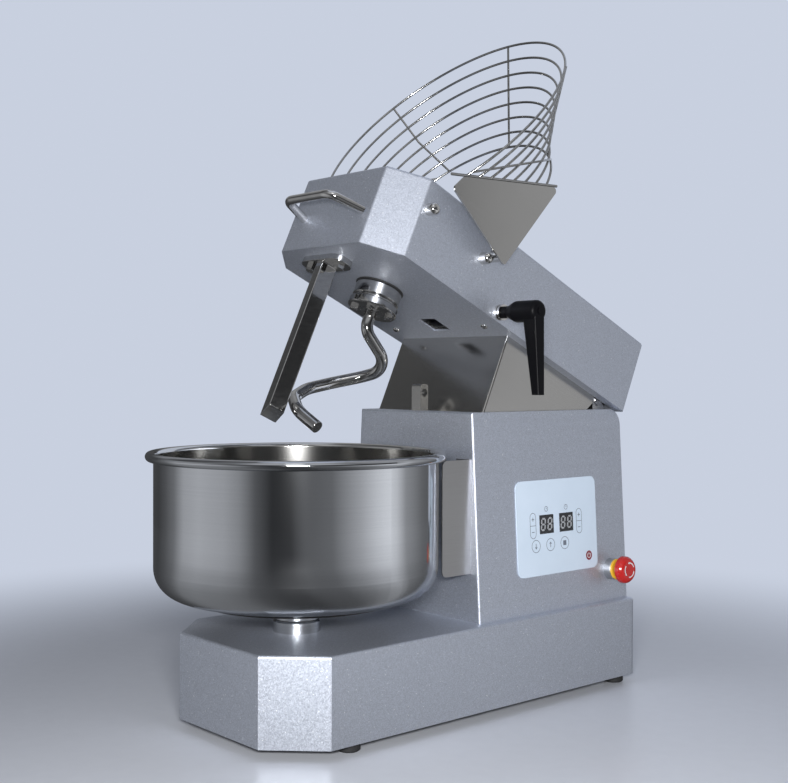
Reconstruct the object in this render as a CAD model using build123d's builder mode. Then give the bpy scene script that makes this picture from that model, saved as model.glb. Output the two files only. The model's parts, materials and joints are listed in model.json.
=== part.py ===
"""Tilt-head spiral dough mixer, drawn with the head and the guard raised.

Millimetres. X runs to the control-panel side, Y from the bowl to the back, Z up from the table.
"""
import os
from math import atan, cos, hypot, radians, sin, tan

from build123d import *

# Sheet metal and fits
sheet = 2.0
thin_sheet = 1.5
fit = 0.05
gap = 0.3
loose = 1.0

# Base and feet
base_length = 494.0
base_width = 223.4
base_height = 85.5
base_bevel_across = 46.0
base_bevel_along = 48.0
base_rear_round = 10.0
base_edge_round = 3.0
base_bend = 3.5
foot_radius = 11.0
foot_height = 10.0
foot_inset_side = 18.0
foot_inset_front = 83.0
foot_inset_rear = 19.0
foot_bevel = 1.5
gland_inset = 41.7
gland_drop = 45.0
gland_radius = 11.0
gland_length = 20.0
gland_grip = 12.0
gland_nose_radius = 7.7
gland_bore = 4.0

# Column
column_setback = 250.5
column_height = 214.2
column_foot_width = 199.4
column_top_width = 174.8
column_rear_round = 18.0
column_edge_round = 2.5
throat_width = 167.0
throat_front = 17.0
throat_rear = 10.0
cover_width = 144.0
cover_height = 170.0
cover_rise = 12.0
cover_lap = 10.0
vent_length = 70.0
vent_width = 5.0
vent_pitch = 12.0
vent_count = 5
screw_radius = 4.0
screw_height = 2.5

# Head hinge
hinge_inset = 32.0
hinge_rise = 9.8
hinge_radius = 6.0
hinge_length = 163.0
lug_spread = 72.0
lug_thickness = 8.0
arm_spread = 62.0
arm_thickness = 8.0
arm_radius = 9.0
arm_reach = 80.0
arm_height = 16.0
tilt = 24.6

# Head, measured from the hinge with the head level
head_overhang = 31.3
head_nose = 89.5
head_width = 190.0
head_height = 86.0
head_bevel = 33.0
head_edge_round = 4.0
head_top_round = 3.6
floor_start = 18.0
skirt_width = 164.0
skirt_behind_lock = 34.0
skirt_start = 10.5
skirt_tail_depth = 8.0
skirt_knee = 20.0
skirt_depth = 95.0
skirt_rear_depth = 24.0
skirt_bend = 2.0
handle_wire = 9.0
handle_shift = 4.0
handle_root = 47.0
handle_grip = 34.0
handle_stand = 35.0
handle_rise = 36.0
handle_bend = 12.0

# Head lock
lock_inset = 8.8
lock_rise = 9.5
tongue_width = 14.0
tongue_depth = 11.0
tongue_height = 28.5
slot_width = 26.0
slot_length = 28.0
slot_shift = 3.0
bracket_width = 156.0
bracket_depth = 44.0
bracket_thickness = 3.0
bracket_screw_spread = 69.0
bracket_screw_shift = 10.0
guide_start = 16.0
guide_length = 20.0
guide_depth = 20.0
guide_height = 15.0
clamp_radius = 4.0
clamp_tip = 8.0
clamp_bush_radius = 8.2
clamp_bush_groove = 1.4
clamp_bush_step = 2.6
clamp_bush_spigot = 6.3
clamp_bush_length = 6.8
lever_hub_start = 102.1
lever_hub_neck = 6.2
lever_neck_length = 7.0
lever_flare = 11.0
lever_flare_round = 8.0
lever_hub_radius = 11.0
lever_hub_end = 151.0
lever_hub_round = 5.0
lever_boss_radius = 3.8
lever_boss_height = 1.0
lever_socket = 28.0
lever_length = 84.0
lever_root_out = 141.5
lever_tip_out = 148.5
lever_root_width = 18.0
lever_root_depth = 15.0
lever_tip_width = 10.0
lever_tip_depth = 9.5
lever_round = 2.0

# Guard, measured from its pivot with the guard lowered
pivot_reach = 235.7
pivot_rise = 57.0
guard_swing = 110.0
plate_inner = 110.0
plate_thickness = 2.0
plate_corner_round = 4.0
plate_points = [(-8.0, 7.0), (-8.0, -95.0), (11.6, -92.72), (114.0, 5.89)]
wire = 2.6
rod_wire = 3.0
tie_wire = 2.4
tie_lift = 1.1
ring_count = 8
ring_low = -91.0
ring_step = 11.7
ring_reach = 268.0
ring_setback = 11.4
side_tie_low = 133.0
side_tie_high = 76.0
rear_tie_reach = 20.6
rear_tie_step = 18.1
rod_overrun = 17.0
rod_inset = 4.0
pivot_pin_radius = 4.0
pivot_pin_start = 84.0
pivot_bush_radius = 6.2
pivot_bush_start = 88.0
stud_radius = 6.2
stud_length = 12.0
stud_round = 5.0
stud_places = [(333.7, 56.0), (247.5, 48.5)]

# Breaker bar
bar_width = 10.0
bar_depth = 20.0
bar_shift = -15.0
bar_clear = 2.75
bar_length = 176.0
bar_bevel_tall = 11.0
bar_tip = 1.5
bar_edge = 1.0
bar_flange_shift = -16.5
bar_flange_width = 65.0
bar_flange_depth = 26.0
bar_flange_height = 6.0
bar_bolt_spread = 22.0
bolt_flats = 5.5
bolt_head = 5.0

# Spiral and its drive
hook_wall_clear = 7.65
spiral_shaft_radius = 12.5
spiral_shaft_top = 74.0
collar_radius = 24.8
collar_height = 16.0
collar_waist = 22.6
collar_disc = 26.2
collar_lift = 1.6
collar_edge = 1.2
collar_waist_height = 2.5
collar_disc_height = 9.0
collar_bolt_circle = 18.6
collar_bolt_flats = 4.0
collar_bolt_head = 3.5
hook_wire = 12.5
hook_drop = 48.0
hook_radius = 43.0
hook_start_angle = -86.0
hook_sweep = -221.0
hook_steps = 6
hook_coil_top = 72.0
hook_coil_height = 100.0
hook_ease = 0.45
hook_neck_bend = 16.0
hook_shoulder_bend = 20.0
hook_coil_bend = 34.0
spiral_bearing_radius = 26.0
spiral_bearing_width = 15.0
spiral_housing_radius = 33.0
spiral_housing_flange = 48.0
spiral_housing_height = 48.0
flange_thickness = 6.0
spiral_pulley_radius = 58.0
spiral_motor_inset = 80.0
spiral_motor_pulley_radius = 24.0
spiral_gearbox_side = 92.0
spiral_gearbox_height = 44.0
spiral_motor_radius = 46.0
spiral_motor_length = 108.0
spiral_motor_bevel = 9.2
belt_width = 12.0
belt_thickness = 4.0
pulley_lip = 3.0
pulley_rim = 5.0
spiral_belt_height = 64.0
motor_shaft_radius = 7.0
motor_shaft_length = 20.0

# Bowl and its drive
bowl_setback = 93.7
bowl_radius = 140.0
bowl_wall = 1.5
bowl_corner = 30.0
bowl_bottom = 130.7
rim_bead = 4.5
rim_lap = 1.0
rim_top = 273.0
foot_ring_radius = 96.0
foot_ring_height = 5.2
hub_radius = 23.0
hub_flange = 60.0
hub_split = 11.5
hub_groove = 1.4
spindle_radius = 10.0
spindle_bottom = 22.0
spindle_room = 1.5
bowl_bearing_radius = 21.0
bowl_bearing_width = 12.0
bowl_housing_radius = 28.0
bowl_housing_flange = 45.0
bowl_housing_bottom = 46.0
bowl_pulley_radius = 68.0
bowl_belt_height = 32.0
bowl_motor_clear = 25.3
bowl_motor_pulley_radius = 22.0
bowl_gearbox_side = 84.0
bowl_gearbox_height = 45.0
bowl_motor_radius = 25.0
bowl_motor_length = 95.0
bowl_motor_bevel = 5.0
bowl_motor_drop = 27.5

# Gas strut
strut_side = -66.0
strut_reach = 60.0
strut_drop = 15.0
strut_radius = 9.0
strut_rod_radius = 4.0
strut_foot_height = 6.0
strut_foot_radius = 16.0
strut_tube_length = 156.0
strut_tube_floor = 12.0
strut_rod_length = 130.0
strut_eye_radius = 8.5
strut_eye_width = 7.0
strut_pin_radius = 3.0
strut_play = 1.5
clevis_thickness = 3.0
clevis_slack = 0.5
clevis_depth = 22.0
clevis_length = 24.0

# Controls
panel_setback = 375.3
panel_centre = 185.2
panel_length = 130.6
panel_tall = 101.5
panel_round = 8.0
panel_thickness = 0.8
window_length = 23.0
window_tall = 20.3
window_rise = 3.2
window_places = [-18.0, 14.3]
board_length = 96.0
board_tall = 64.0
board_thickness = 1.6
board_stand = 8.0
board_post_radius = 3.0
relay_height = 11.0
estop_inset = 31.0
estop_height = 130.0
estop_collar_radius = 11.0
estop_collar_height = 8.0
estop_spigot = 8.0
estop_ring_radius = 13.0
estop_ring_height = 3.5
estop_plunger_radius = 5.0
estop_travel = 4.0
estop_cap_radius = 15.0
estop_cap_height = 11.5
estop_cap_foot = 13.0
estop_cap_flare = 2.4
estop_cap_crown = 11.5
estop_cap_shoulder = 4.6
estop_cap_round = 5.0
estop_plunger_depth = 20.4
estop_socket = 6.0
estop_block_side = 28.0
estop_block_depth = 34.0

# Side shield
shield_out = 86.0
shield_low = 145.0
shield_reach = 40.0
shield_flange = 20.0
shield_round = 6.0
shield_clear = 2.0

# Levels and places that follow from the sizes
base_top = foot_height + base_height
column_top = base_top + column_height
column_depth = base_length - column_setback - base_edge_round
hinge_height = column_top + hinge_rise
hinge_setback = base_length - hinge_inset
throat_length = hinge_setback - column_setback - throat_front - throat_rear
estop_setback = base_length - estop_inset
gland_side = gland_inset - base_width / 2
bowl_drive_reach = bowl_gearbox_side / 2 + bowl_motor_length + bowl_motor_clear + sheet
bowl_drive_distance = base_length - bowl_setback - bowl_drive_reach
rim_radius = bowl_radius + 2 * rim_bead - rim_lap
hook_out = hook_radius + hook_wire / 2
spiral_setback = bowl_setback + bowl_radius - bowl_wall - hook_wall_clear - hook_out
spiral_reach = hinge_setback - spiral_setback
bar_reach = spiral_reach + hook_out + bar_clear + bar_depth / 2
lock_reach = hinge_setback - column_setback - lock_inset
skirt_reach = lock_reach - skirt_behind_lock
spiral_motor_reach = skirt_reach - spiral_motor_inset
head_length = head_overhang + spiral_reach + head_nose
bowl_front = bowl_setback - rim_radius
head_back_reach = (head_overhang - head_edge_round) * cos(radians(tilt))
head_back_rise = (head_height - head_edge_round) * sin(radians(tilt))
head_back = hinge_setback + head_back_reach + head_back_rise + head_edge_round
origin_setback = (bowl_front + head_back) / 2
base_front = -origin_setback
column_front = column_setback - origin_setback
column_rear = column_front + column_depth
hinge_y = hinge_setback - origin_setback
bowl_y = bowl_setback - origin_setback
column_lean = atan((column_foot_width - column_top_width) / 2 / column_height)


def across(frame, x):
    """Plane that looks along X: its sketch shows (y, z) and it extrudes to +X."""
    return Plane(origin=frame.from_local_coords((x, 0, 0)), x_dir=frame.y_dir, z_dir=frame.x_dir)


def along(frame, y):
    """Plane that looks from the back: its sketch shows (x, z) and it extrudes to the front."""
    return Plane(origin=frame.from_local_coords((0, y, 0)), x_dir=frame.x_dir, z_dir=-frame.y_dir)


def moved(frame, x, y, z):
    """The frame carried to a point given in its own axes."""
    return Plane(origin=frame.from_local_coords((x, y, z)), x_dir=frame.x_dir, z_dir=frame.z_dir)


def column_half(height, wall):
    """Half width of the column at a height, less the wall measured square to its face."""
    return column_foot_width / 2 - (height - base_top) * tan(column_lean) - wall / cos(column_lean)


def right_face(setback, height):
    """Plane on the sloping right face of the column, x to the back and y up the face."""
    out = column_half(height, 0)
    outward = (cos(column_lean), 0, sin(column_lean))
    return Plane(origin=(out, setback - origin_setback, height), x_dir=(0, 1, 0), z_dir=outward)


def turned(spot, outline):
    """Turned piece on the z axis of the plane, from (radius, height) points."""
    with BuildPart() as piece:
        with BuildSketch(Plane(origin=spot.origin, x_dir=spot.x_dir, z_dir=-spot.y_dir)):
            with BuildLine():
                Polyline(*outline, close=True)
            make_face()
        revolve(axis=Axis(spot.origin, spot.z_dir))
    return piece


def pulley(spot, groove, bore, middle):
    """Flat-belt pulley with a lip on each side of the belt, centred on a height."""
    low = middle - belt_width / 2 - pulley_lip
    high = middle + belt_width / 2 + pulley_lip
    lip = groove + pulley_rim
    belt_low = middle - belt_width / 2 - gap
    belt_high = middle + belt_width / 2 + gap
    outline = [(bore, low), (lip, low), (lip, belt_low), (groove, belt_low)]
    outline += [(groove, belt_high), (lip, belt_high), (lip, high), (bore, high)]
    return turned(spot, outline)


def belt(spot, first_y, first_radius, second_y, second_radius, middle):
    """Belt round two pulleys that stand on the plane's y axis."""
    with BuildPart() as piece:
        with BuildSketch(spot.offset(middle - belt_width / 2)) as outside:
            with Locations((0, first_y)):
                Circle(first_radius + gap + belt_thickness)
            with Locations((0, second_y)):
                Circle(second_radius + gap + belt_thickness)
            make_hull()
        extrude(amount=belt_width)
        with BuildSketch(spot.offset(middle - belt_width / 2)) as inside:
            with Locations((0, first_y)):
                Circle(first_radius + gap)
            with Locations((0, second_y)):
                Circle(second_radius + gap)
            make_hull()
        extrude(amount=belt_width, mode=Mode.SUBTRACT)
    return piece


machine = Plane.XY
head = Plane(origin=(0, hinge_y, hinge_height)).rotated((-tilt, 0, 0))
guard_origin = head.from_local_coords((0, -pivot_reach, pivot_rise))
guard = Plane(origin=guard_origin).rotated((-tilt - guard_swing, 0, 0))
spiral = moved(head, 0, -spiral_reach, 0)
bowl_axis = moved(machine, 0, bowl_y, 0)
estop = right_face(estop_setback, estop_height)

# Base shell: folded box with bevelled front corners, open below
base_rear = base_front + base_length
bevel_y = base_front + base_bevel_along
bevel_x = base_width / 2 - base_bevel_across
base_outline = [(-base_width / 2, base_rear), (-base_width / 2, bevel_y), (-bevel_x, base_front)]
base_outline += [(bevel_x, base_front), (base_width / 2, bevel_y), (base_width / 2, base_rear)]
bowl_housing_neck = hub_radius + hub_groove / 2
with BuildPart() as base_shell:
    with BuildSketch(machine.offset(foot_height)) as base_plan:
        with BuildLine():
            Polyline(*base_outline, close=True)
        make_face()
        corner_rows = base_plan.vertices().group_by(Axis.Y)
        fillet(corner_rows[-1], base_rear_round)
        fillet(corner_rows[0] + corner_rows[1], base_bend)
    extrude(amount=base_height)
    fillet(base_shell.faces().sort_by(Axis.Z)[-1].edges(), base_edge_round)
    with BuildSketch(machine.offset(foot_height)):
        offset(base_plan.sketch_local, amount=-sheet)
    extrude(amount=base_height - sheet, mode=Mode.SUBTRACT)
    with BuildSketch(machine.offset(base_top - 2 * sheet)):
        with Locations((0, bowl_y)):
            Circle(bowl_housing_neck + fit)
    extrude(amount=3 * sheet, mode=Mode.SUBTRACT)
    with BuildSketch(along(machine, base_rear + sheet)):
        with Locations((gland_side, base_top - gland_drop)):
            Circle(gland_radius / 2 + fit)
    extrude(amount=3 * sheet, mode=Mode.SUBTRACT)

# Base plate: closes the base from below
with BuildPart() as base_plate:
    with BuildSketch(machine.offset(foot_height)):
        offset(base_plan.sketch_local, amount=-sheet - gap)
    extrude(amount=sheet)

# Feet: four rubber discs under the base plate
foot_columns = base_width - 2 * foot_inset_side
foot_rows = base_length - foot_inset_front - foot_inset_rear
foot_middle = base_front + foot_inset_front + foot_rows / 2
with BuildPart() as feet:
    with BuildSketch(machine):
        with Locations((0, foot_middle)):
            with GridLocations(foot_columns, foot_rows, 2, 2):
                Circle(foot_radius)
    extrude(amount=foot_height)
    chamfer(feet.faces().filter_by(Axis.Z).group_by(Axis.Z)[0].edges(), foot_bevel)

# Power gland: threaded neck in the rear wall, body outside, open bore
gland_frame = moved(machine, gland_side, base_rear, base_top - gland_drop)
gland_spot = Plane(origin=gland_frame.origin, x_dir=(1, 0, 0), z_dir=(0, 1, 0))
gland_outline = [(gland_bore, -3 * sheet), (gland_radius / 2, -3 * sheet), (gland_radius / 2, 0)]
gland_outline += [(gland_radius, 0), (gland_radius, gland_grip)]
gland_outline += [(gland_nose_radius, gland_length), (gland_bore, gland_length)]
power_gland = turned(gland_spot, gland_outline)

# Column shell: tapered housing with the throat for the neck skirt in its top
cover_middle = base_top + cover_rise + cover_height / 2
throat_y = column_front + throat_front + throat_length / 2
with BuildPart() as column_shell:
    with BuildSketch(along(machine, column_front)):
        with BuildLine():
            Polyline(
                (-column_half(base_top, 0), base_top),
                (column_half(base_top, 0), base_top),
                (column_half(column_top, 0), column_top),
                (-column_half(column_top, 0), column_top),
                close=True,
            )
        make_face()
    extrude(amount=-column_depth)
    top_edges = column_shell.edges().filter_by(Axis.X).group_by(Axis.Z)[-1]
    fillet(top_edges.sort_by(Axis.Y)[-1], column_rear_round)
    front_edges = column_shell.faces().sort_by(Axis.Y)[0].edges()
    fillet(front_edges.sort_by(Axis.Z)[1:], column_edge_round)
    with BuildSketch(along(machine, column_front + sheet)):
        with BuildLine():
            Polyline(
                (-column_half(base_top, sheet), base_top),
                (column_half(base_top, sheet), base_top),
                (column_half(column_top - sheet, sheet), column_top - sheet),
                (-column_half(column_top - sheet, sheet), column_top - sheet),
                close=True,
            )
        make_face()
    hollow = extrude(amount=2 * sheet - column_depth, mode=Mode.PRIVATE)
    hollow_edges = hollow.edges().filter_by(Axis.X).group_by(Axis.Z)[-1]
    hollow = hollow.fillet(column_rear_round - sheet, [hollow_edges.sort_by(Axis.Y)[-1]])
    add(hollow, mode=Mode.SUBTRACT)
    with BuildSketch(machine.offset(column_top - 2 * sheet)):
        with Locations((0, throat_y)):
            Rectangle(throat_width, throat_length)
    extrude(amount=3 * sheet, mode=Mode.SUBTRACT)
    with BuildSketch(along(machine, column_rear + sheet)):
        with Locations((0, cover_middle)):
            Rectangle(cover_width - 2 * cover_lap, cover_height - 2 * cover_lap)
    extrude(amount=3 * sheet, mode=Mode.SUBTRACT)
    with BuildSketch(estop.offset(-2 * sheet)):
        Circle(estop_spigot + fit)
    extrude(amount=3 * sheet, mode=Mode.SUBTRACT)

# Rear cover: plate with vents over the service opening
with BuildPart() as rear_cover:
    with BuildSketch(along(machine, column_rear)):
        with Locations((0, cover_middle)):
            RectangleRounded(cover_width, cover_height, cover_lap / 2)
            with GridLocations(0, vent_pitch, 1, vent_count):
                SlotOverall(vent_length, vent_width, mode=Mode.SUBTRACT)
    extrude(amount=-thin_sheet)

# Rear cover screws: pan heads in the corners of the cover
cover_back = column_rear + thin_sheet
with BuildPart() as rear_cover_screws:
    with BuildSketch(along(machine, cover_back)):
        with Locations((0, cover_middle)):
            with GridLocations(cover_width - cover_lap, cover_height - cover_lap, 2, 2):
                Circle(screw_radius)
    extrude(amount=-screw_height)
    fillet(rear_cover_screws.faces().group_by(Axis.Y)[-1].edges(), screw_height / 2)

# Hinge lugs: two plates welded on the column top
with BuildPart() as hinge_lugs:
    with BuildSketch(across(machine, lug_spread)):
        with Locations((hinge_y, hinge_height)):
            Circle(hinge_rise)
        with Locations((hinge_y, column_top + hinge_rise / 2)):
            Rectangle(2 * hinge_rise, hinge_rise)
        with Locations((hinge_y, hinge_height)):
            Circle(hinge_radius + fit, mode=Mode.SUBTRACT)
    extrude(amount=lug_thickness)
    mirror(about=Plane.YZ)

# Hinge shaft: through the lugs and the arms of the head
with BuildPart() as hinge_shaft:
    with BuildSketch(across(machine, -hinge_length / 2)):
        with Locations((hinge_y, hinge_height)):
            Circle(hinge_radius)
    extrude(amount=hinge_length)

# Latch tongue: drilled block on the front strip of the column top
tongue_y = hinge_y - lock_reach
tongue_hole_height = hinge_height + lock_rise
with BuildPart() as latch_tongue:
    with BuildSketch(machine.offset(column_top)):
        with Locations((0, tongue_y)):
            Rectangle(tongue_width, tongue_depth)
    extrude(amount=tongue_height)
    fillet(latch_tongue.faces().sort_by(Axis.Z)[-1].edges().filter_by(Axis.X), tongue_depth / 4)
    with BuildSketch(across(machine, -tongue_width)):
        with Locations((tongue_y, tongue_hole_height)):
            Circle(clamp_radius + gap)
    extrude(amount=2 * tongue_width, mode=Mode.SUBTRACT)

# Side shield: angle plate between the bowl and the column, rounded front corners
shield_high = rim_top - 2 * rim_bead - shield_clear
shield_front = column_front - shield_reach
shield_in = shield_out - shield_flange
with BuildPart() as side_shield:
    with BuildSketch(machine.offset(shield_low)):
        with BuildLine():
            Polyline(
                (shield_out, shield_front),
                (shield_out, column_front),
                (shield_in, column_front),
                (shield_in, column_front - thin_sheet),
                (shield_out - thin_sheet, column_front - thin_sheet),
                (shield_out - thin_sheet, shield_front),
                close=True,
            )
        make_face()
    extrude(amount=shield_high - shield_low)
    fillet(side_shield.edges().filter_by(Axis.X).group_by(Axis.Y)[0], shield_round)

# Control panel: membrane overlay on the right face, cut out for the displays
panel = right_face(panel_setback, panel_centre)
with BuildPart() as control_panel:
    with BuildSketch(panel):
        RectangleRounded(panel_length, panel_tall, panel_round)
        with Locations(*[(place, window_rise) for place in window_places]):
            Rectangle(window_length, window_tall, mode=Mode.SUBTRACT)
    extrude(amount=panel_thickness)

# Display windows: dark windows set flush in the overlay
with BuildPart() as display_windows:
    with BuildSketch(panel):
        with Locations(*[(place, window_rise) for place in window_places]):
            Rectangle(window_length - gap, window_tall - gap)
    extrude(amount=panel_thickness)

# Control board: circuit board on four posts behind the panel, with its relays
with BuildPart() as control_board:
    with BuildSketch(panel.offset(-sheet - board_stand)):
        Rectangle(board_length, board_tall)
    extrude(amount=-board_thickness)
    with BuildSketch(panel.offset(-sheet - board_stand)):
        with GridLocations(board_length - 4 * sheet, board_tall - 4 * sheet, 2, 2):
            Circle(board_post_radius)
    extrude(amount=board_stand)
    with BuildSketch(panel.offset(-sheet - board_stand - board_thickness)):
        with GridLocations(board_length / 4, 0, 3, 1):
            Rectangle(board_length / 6, board_tall / 2)
    extrude(amount=-relay_height)

# Emergency stop: collar through the wall, ring, plunger, mushroom and contact block
collar_outline = [(estop_plunger_radius + fit, -sheet), (estop_spigot, -sheet), (estop_spigot, 0)]
collar_outline += [(estop_collar_radius, 0), (estop_collar_radius, estop_collar_height)]
collar_outline += [(estop_plunger_radius + fit, estop_collar_height)]
estop_collar = turned(estop, collar_outline)

ring_top = estop_collar_height + estop_ring_height
ring_bore = estop_plunger_radius + loose
ring_outline = [(ring_bore, estop_collar_height), (estop_ring_radius, estop_collar_height)]
ring_outline += [(estop_ring_radius, ring_top), (ring_bore, ring_top)]
estop_ring = turned(estop, ring_outline)

cap_low = ring_top + estop_travel + gap
cap_high = cap_low + estop_cap_height
cap_outline = [(0, cap_low + estop_socket), (estop_plunger_radius + fit, cap_low + estop_socket)]
cap_outline += [(estop_plunger_radius + fit, cap_low), (estop_cap_foot, cap_low)]
cap_outline += [(estop_cap_radius, cap_low + estop_cap_flare)]
cap_outline += [(estop_cap_radius, cap_high - estop_cap_shoulder)]
cap_outline += [(estop_cap_crown, cap_high), (0, cap_high)]
with BuildPart() as estop_mushroom:
    add(turned(estop, cap_outline).part)
    cap_rims = estop_mushroom.edges().filter_by(GeomType.CIRCLE).sort_by(Axis(estop.origin, estop.z_dir))
    fillet(cap_rims[-2:], estop_cap_round)

plunger_end = -sheet - estop_plunger_depth
with BuildPart() as estop_plunger:
    with BuildSketch(estop.offset(plunger_end)):
        Circle(estop_plunger_radius)
    extrude(amount=cap_low + estop_socket - plunger_end)

with BuildPart() as estop_contact_block:
    with BuildSketch(estop.offset(-sheet)):
        Rectangle(estop_block_side, estop_block_side)
    extrude(amount=-estop_block_depth)
    with BuildSketch(estop.offset(-sheet)):
        Circle(estop_plunger_radius + fit)
    extrude(amount=plunger_end + sheet - estop_travel - gap, mode=Mode.SUBTRACT)

# Head shell: long box with bevelled front corners, open below, with a lip beside each hinge lug
head_rear = head_overhang
head_front = head_overhang - head_length
head_half = head_width / 2
head_outline = [(-head_half, head_rear), (-head_half, head_front + head_bevel)]
head_outline += [(-head_half + head_bevel, head_front), (head_half - head_bevel, head_front)]
head_outline += [(head_half, head_front + head_bevel), (head_half, head_rear)]
lip_width = head_half - hinge_length / 2 - loose - sheet / 2
lip_middle = hinge_length / 2 + loose + lip_width / 2
lip_length = floor_start - gap + head_rear - head_edge_round
lip_y = gap - floor_start + lip_length / 2
with BuildPart() as head_shell:
    with BuildSketch(head) as head_plan:
        with BuildLine():
            Polyline(*head_outline, close=True)
        make_face()
    extrude(amount=head_height)
    upright = head_shell.edges().filter_by(Axis((0, 0, 0), head.z_dir))
    fillet(upright, head_edge_round)
    head_up = Axis(head.origin, head.z_dir)
    fillet(head_shell.faces().sort_by(head_up)[-1].edges(), head_top_round)
    with BuildSketch(head):
        offset(head_plan.sketch_local, amount=-sheet)
    extrude(amount=head_height - sheet, mode=Mode.SUBTRACT)
    with BuildSketch(head):
        with Locations((lip_middle, lip_y), (-lip_middle, lip_y)):
            Rectangle(lip_width, lip_length)
    extrude(amount=sheet)
    with BuildSketch(across(head, -head_width)):
        with Locations((-pivot_reach, pivot_rise)):
            Circle(pivot_bush_radius + fit)
    extrude(amount=2 * head_width, mode=Mode.SUBTRACT)
    with BuildSketch(across(head, head_half - 2 * sheet)):
        with Locations((-lock_reach, lock_rise)):
            Circle(clamp_bush_spigot + fit)
    extrude(amount=3 * sheet, mode=Mode.SUBTRACT)

# Head bottom plate: with the latch slot and openings for both drives
slot_y = -lock_reach + slot_shift
with BuildPart() as head_bottom_plate:
    with BuildSketch(head):
        offset(head_plan.sketch_local, amount=-sheet - gap)
        with Locations((0, head_overhang - floor_start)):
            Rectangle(2 * head_width, 2 * head_overhang, mode=Mode.SUBTRACT)
        with Locations((0, slot_y)):
            Rectangle(slot_width, slot_length, mode=Mode.SUBTRACT)
        with Locations((0, -spiral_reach)):
            Circle(spiral_shaft_radius + loose, mode=Mode.SUBTRACT)
        with Locations((0, -spiral_motor_reach)):
            Circle(2 * motor_shaft_radius, mode=Mode.SUBTRACT)
    extrude(amount=sheet)

# Neck skirt: stainless shroud under the head that dips into the column
skirt_half = skirt_width / 2
with BuildPart() as neck_skirt:
    with BuildSketch(across(head, -skirt_half)):
        with BuildLine():
            Polyline(
                (-skirt_start, 0),
                (-skirt_start, -skirt_tail_depth),
                (-skirt_knee, -skirt_rear_depth),
                (-skirt_reach, -skirt_depth),
                (-skirt_reach, 0),
                close=True,
            )
        make_face()
    extrude(amount=skirt_width)
    skirt_folds = neck_skirt.edges().filter_by(Axis((0, 0, 0), head.z_dir)).sort_by(SortBy.LENGTH)[-2:]
    fillet(skirt_folds, skirt_bend)
    with BuildSketch(across(head, thin_sheet - skirt_half)):
        with BuildLine():
            Polyline(
                (0, 0),
                (0, -2 * skirt_depth),
                (thin_sheet - skirt_reach, -2 * skirt_depth),
                (thin_sheet - skirt_reach, 0),
                close=True,
            )
        make_face()
    extrude(amount=skirt_width - 2 * thin_sheet, mode=Mode.SUBTRACT)

# Front handle: bent polished rod on the front face of the head
with BuildPart() as front_handle:
    with BuildLine(moved(head, handle_shift, head_front, handle_rise)) as handle_path:
        FilletPolyline(
            (-handle_root, 0),
            (-handle_grip, -handle_stand),
            (handle_grip, -handle_stand),
            (handle_root, 0),
            radius=handle_bend,
        )
    handle_wire_path = handle_path.wires()[0]
    with BuildSketch(Plane(origin=handle_wire_path @ 0, z_dir=handle_wire_path % 0)):
        Circle(handle_wire / 2)
    sweep(path=handle_wire_path)
    split(bisect_by=along(head, head_front), keep=Keep.TOP)

# Head hinge arms: two plates on the head floor with eyes on the hinge shaft
with BuildPart() as head_hinge_arms:
    with BuildSketch(across(head, arm_spread)):
        with BuildLine():
            Polyline(
                (0, sheet),
                (-arm_reach, sheet),
                (-arm_reach, arm_height / 2),
                (-arm_reach / 2, arm_height),
                (0, arm_radius),
                close=True,
            )
        make_face()
        Circle(arm_radius)
        Circle(hinge_radius + fit, mode=Mode.SUBTRACT)
    extrude(amount=arm_thickness)
    mirror(about=Plane.YZ)

# Lock bracket: strip on the head floor round the latch slot, with guide and anvil
with BuildPart() as lock_bracket:
    with BuildSketch(head.offset(sheet)):
        with Locations((0, slot_y)):
            Rectangle(bracket_width, bracket_depth)
            Rectangle(slot_width, slot_length, mode=Mode.SUBTRACT)
    extrude(amount=bracket_thickness)
    with BuildSketch(head.offset(sheet)):
        with Locations((guide_start + guide_length / 2, -lock_reach)):
            Rectangle(guide_length, guide_depth)
        with Locations((-guide_start - guide_length / 2, -lock_reach)):
            Rectangle(guide_length, guide_depth)
    extrude(amount=guide_height)
    with BuildSketch(across(head, 0)):
        with Locations((-lock_reach, lock_rise)):
            Circle(clamp_radius + fit)
    extrude(amount=head_width, mode=Mode.SUBTRACT)

# Lock bracket screws: two heads under the head floor
with BuildPart() as lock_bracket_screws:
    with BuildSketch(head):
        with Locations((0, bracket_screw_shift - lock_reach)):
            with GridLocations(2 * bracket_screw_spread, 0, 2, 1):
                Circle(screw_radius)
    extrude(amount=-screw_height)

# Clamp bush, screw and hand lever on the right side of the head
lock_spot = Plane(
    origin=head.from_local_coords((0, -lock_reach, lock_rise)), x_dir=(0, 0, 1), z_dir=(1, 0, 0)
)
bush_bore = clamp_radius + fit
bush_outline = [(bush_bore, head_half - 2 * sheet), (clamp_bush_spigot, head_half - 2 * sheet)]
bush_outline += [(clamp_bush_spigot, head_half), (clamp_bush_radius, head_half)]
bush_waist = clamp_bush_radius - clamp_bush_groove
bush_end = head_half + clamp_bush_length
bush_outline += [(clamp_bush_radius, head_half + clamp_bush_step), (bush_waist, head_half + clamp_bush_step)]
bush_outline += [(bush_waist, bush_end - clamp_bush_step), (clamp_bush_radius, bush_end - clamp_bush_step)]
bush_outline += [(clamp_bush_radius, bush_end)]
bush_outline += [(bush_bore, bush_end)]
clamp_bush = turned(lock_spot, bush_outline)

with BuildPart() as clamp_screw:
    with BuildSketch(lock_spot.offset(clamp_tip)):
        Circle(clamp_radius)
    extrude(amount=lever_hub_start + lever_socket - clamp_tip)
    chamfer(clamp_screw.faces().sort_by(Axis.X)[0].edges(), sheet / 2)

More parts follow.
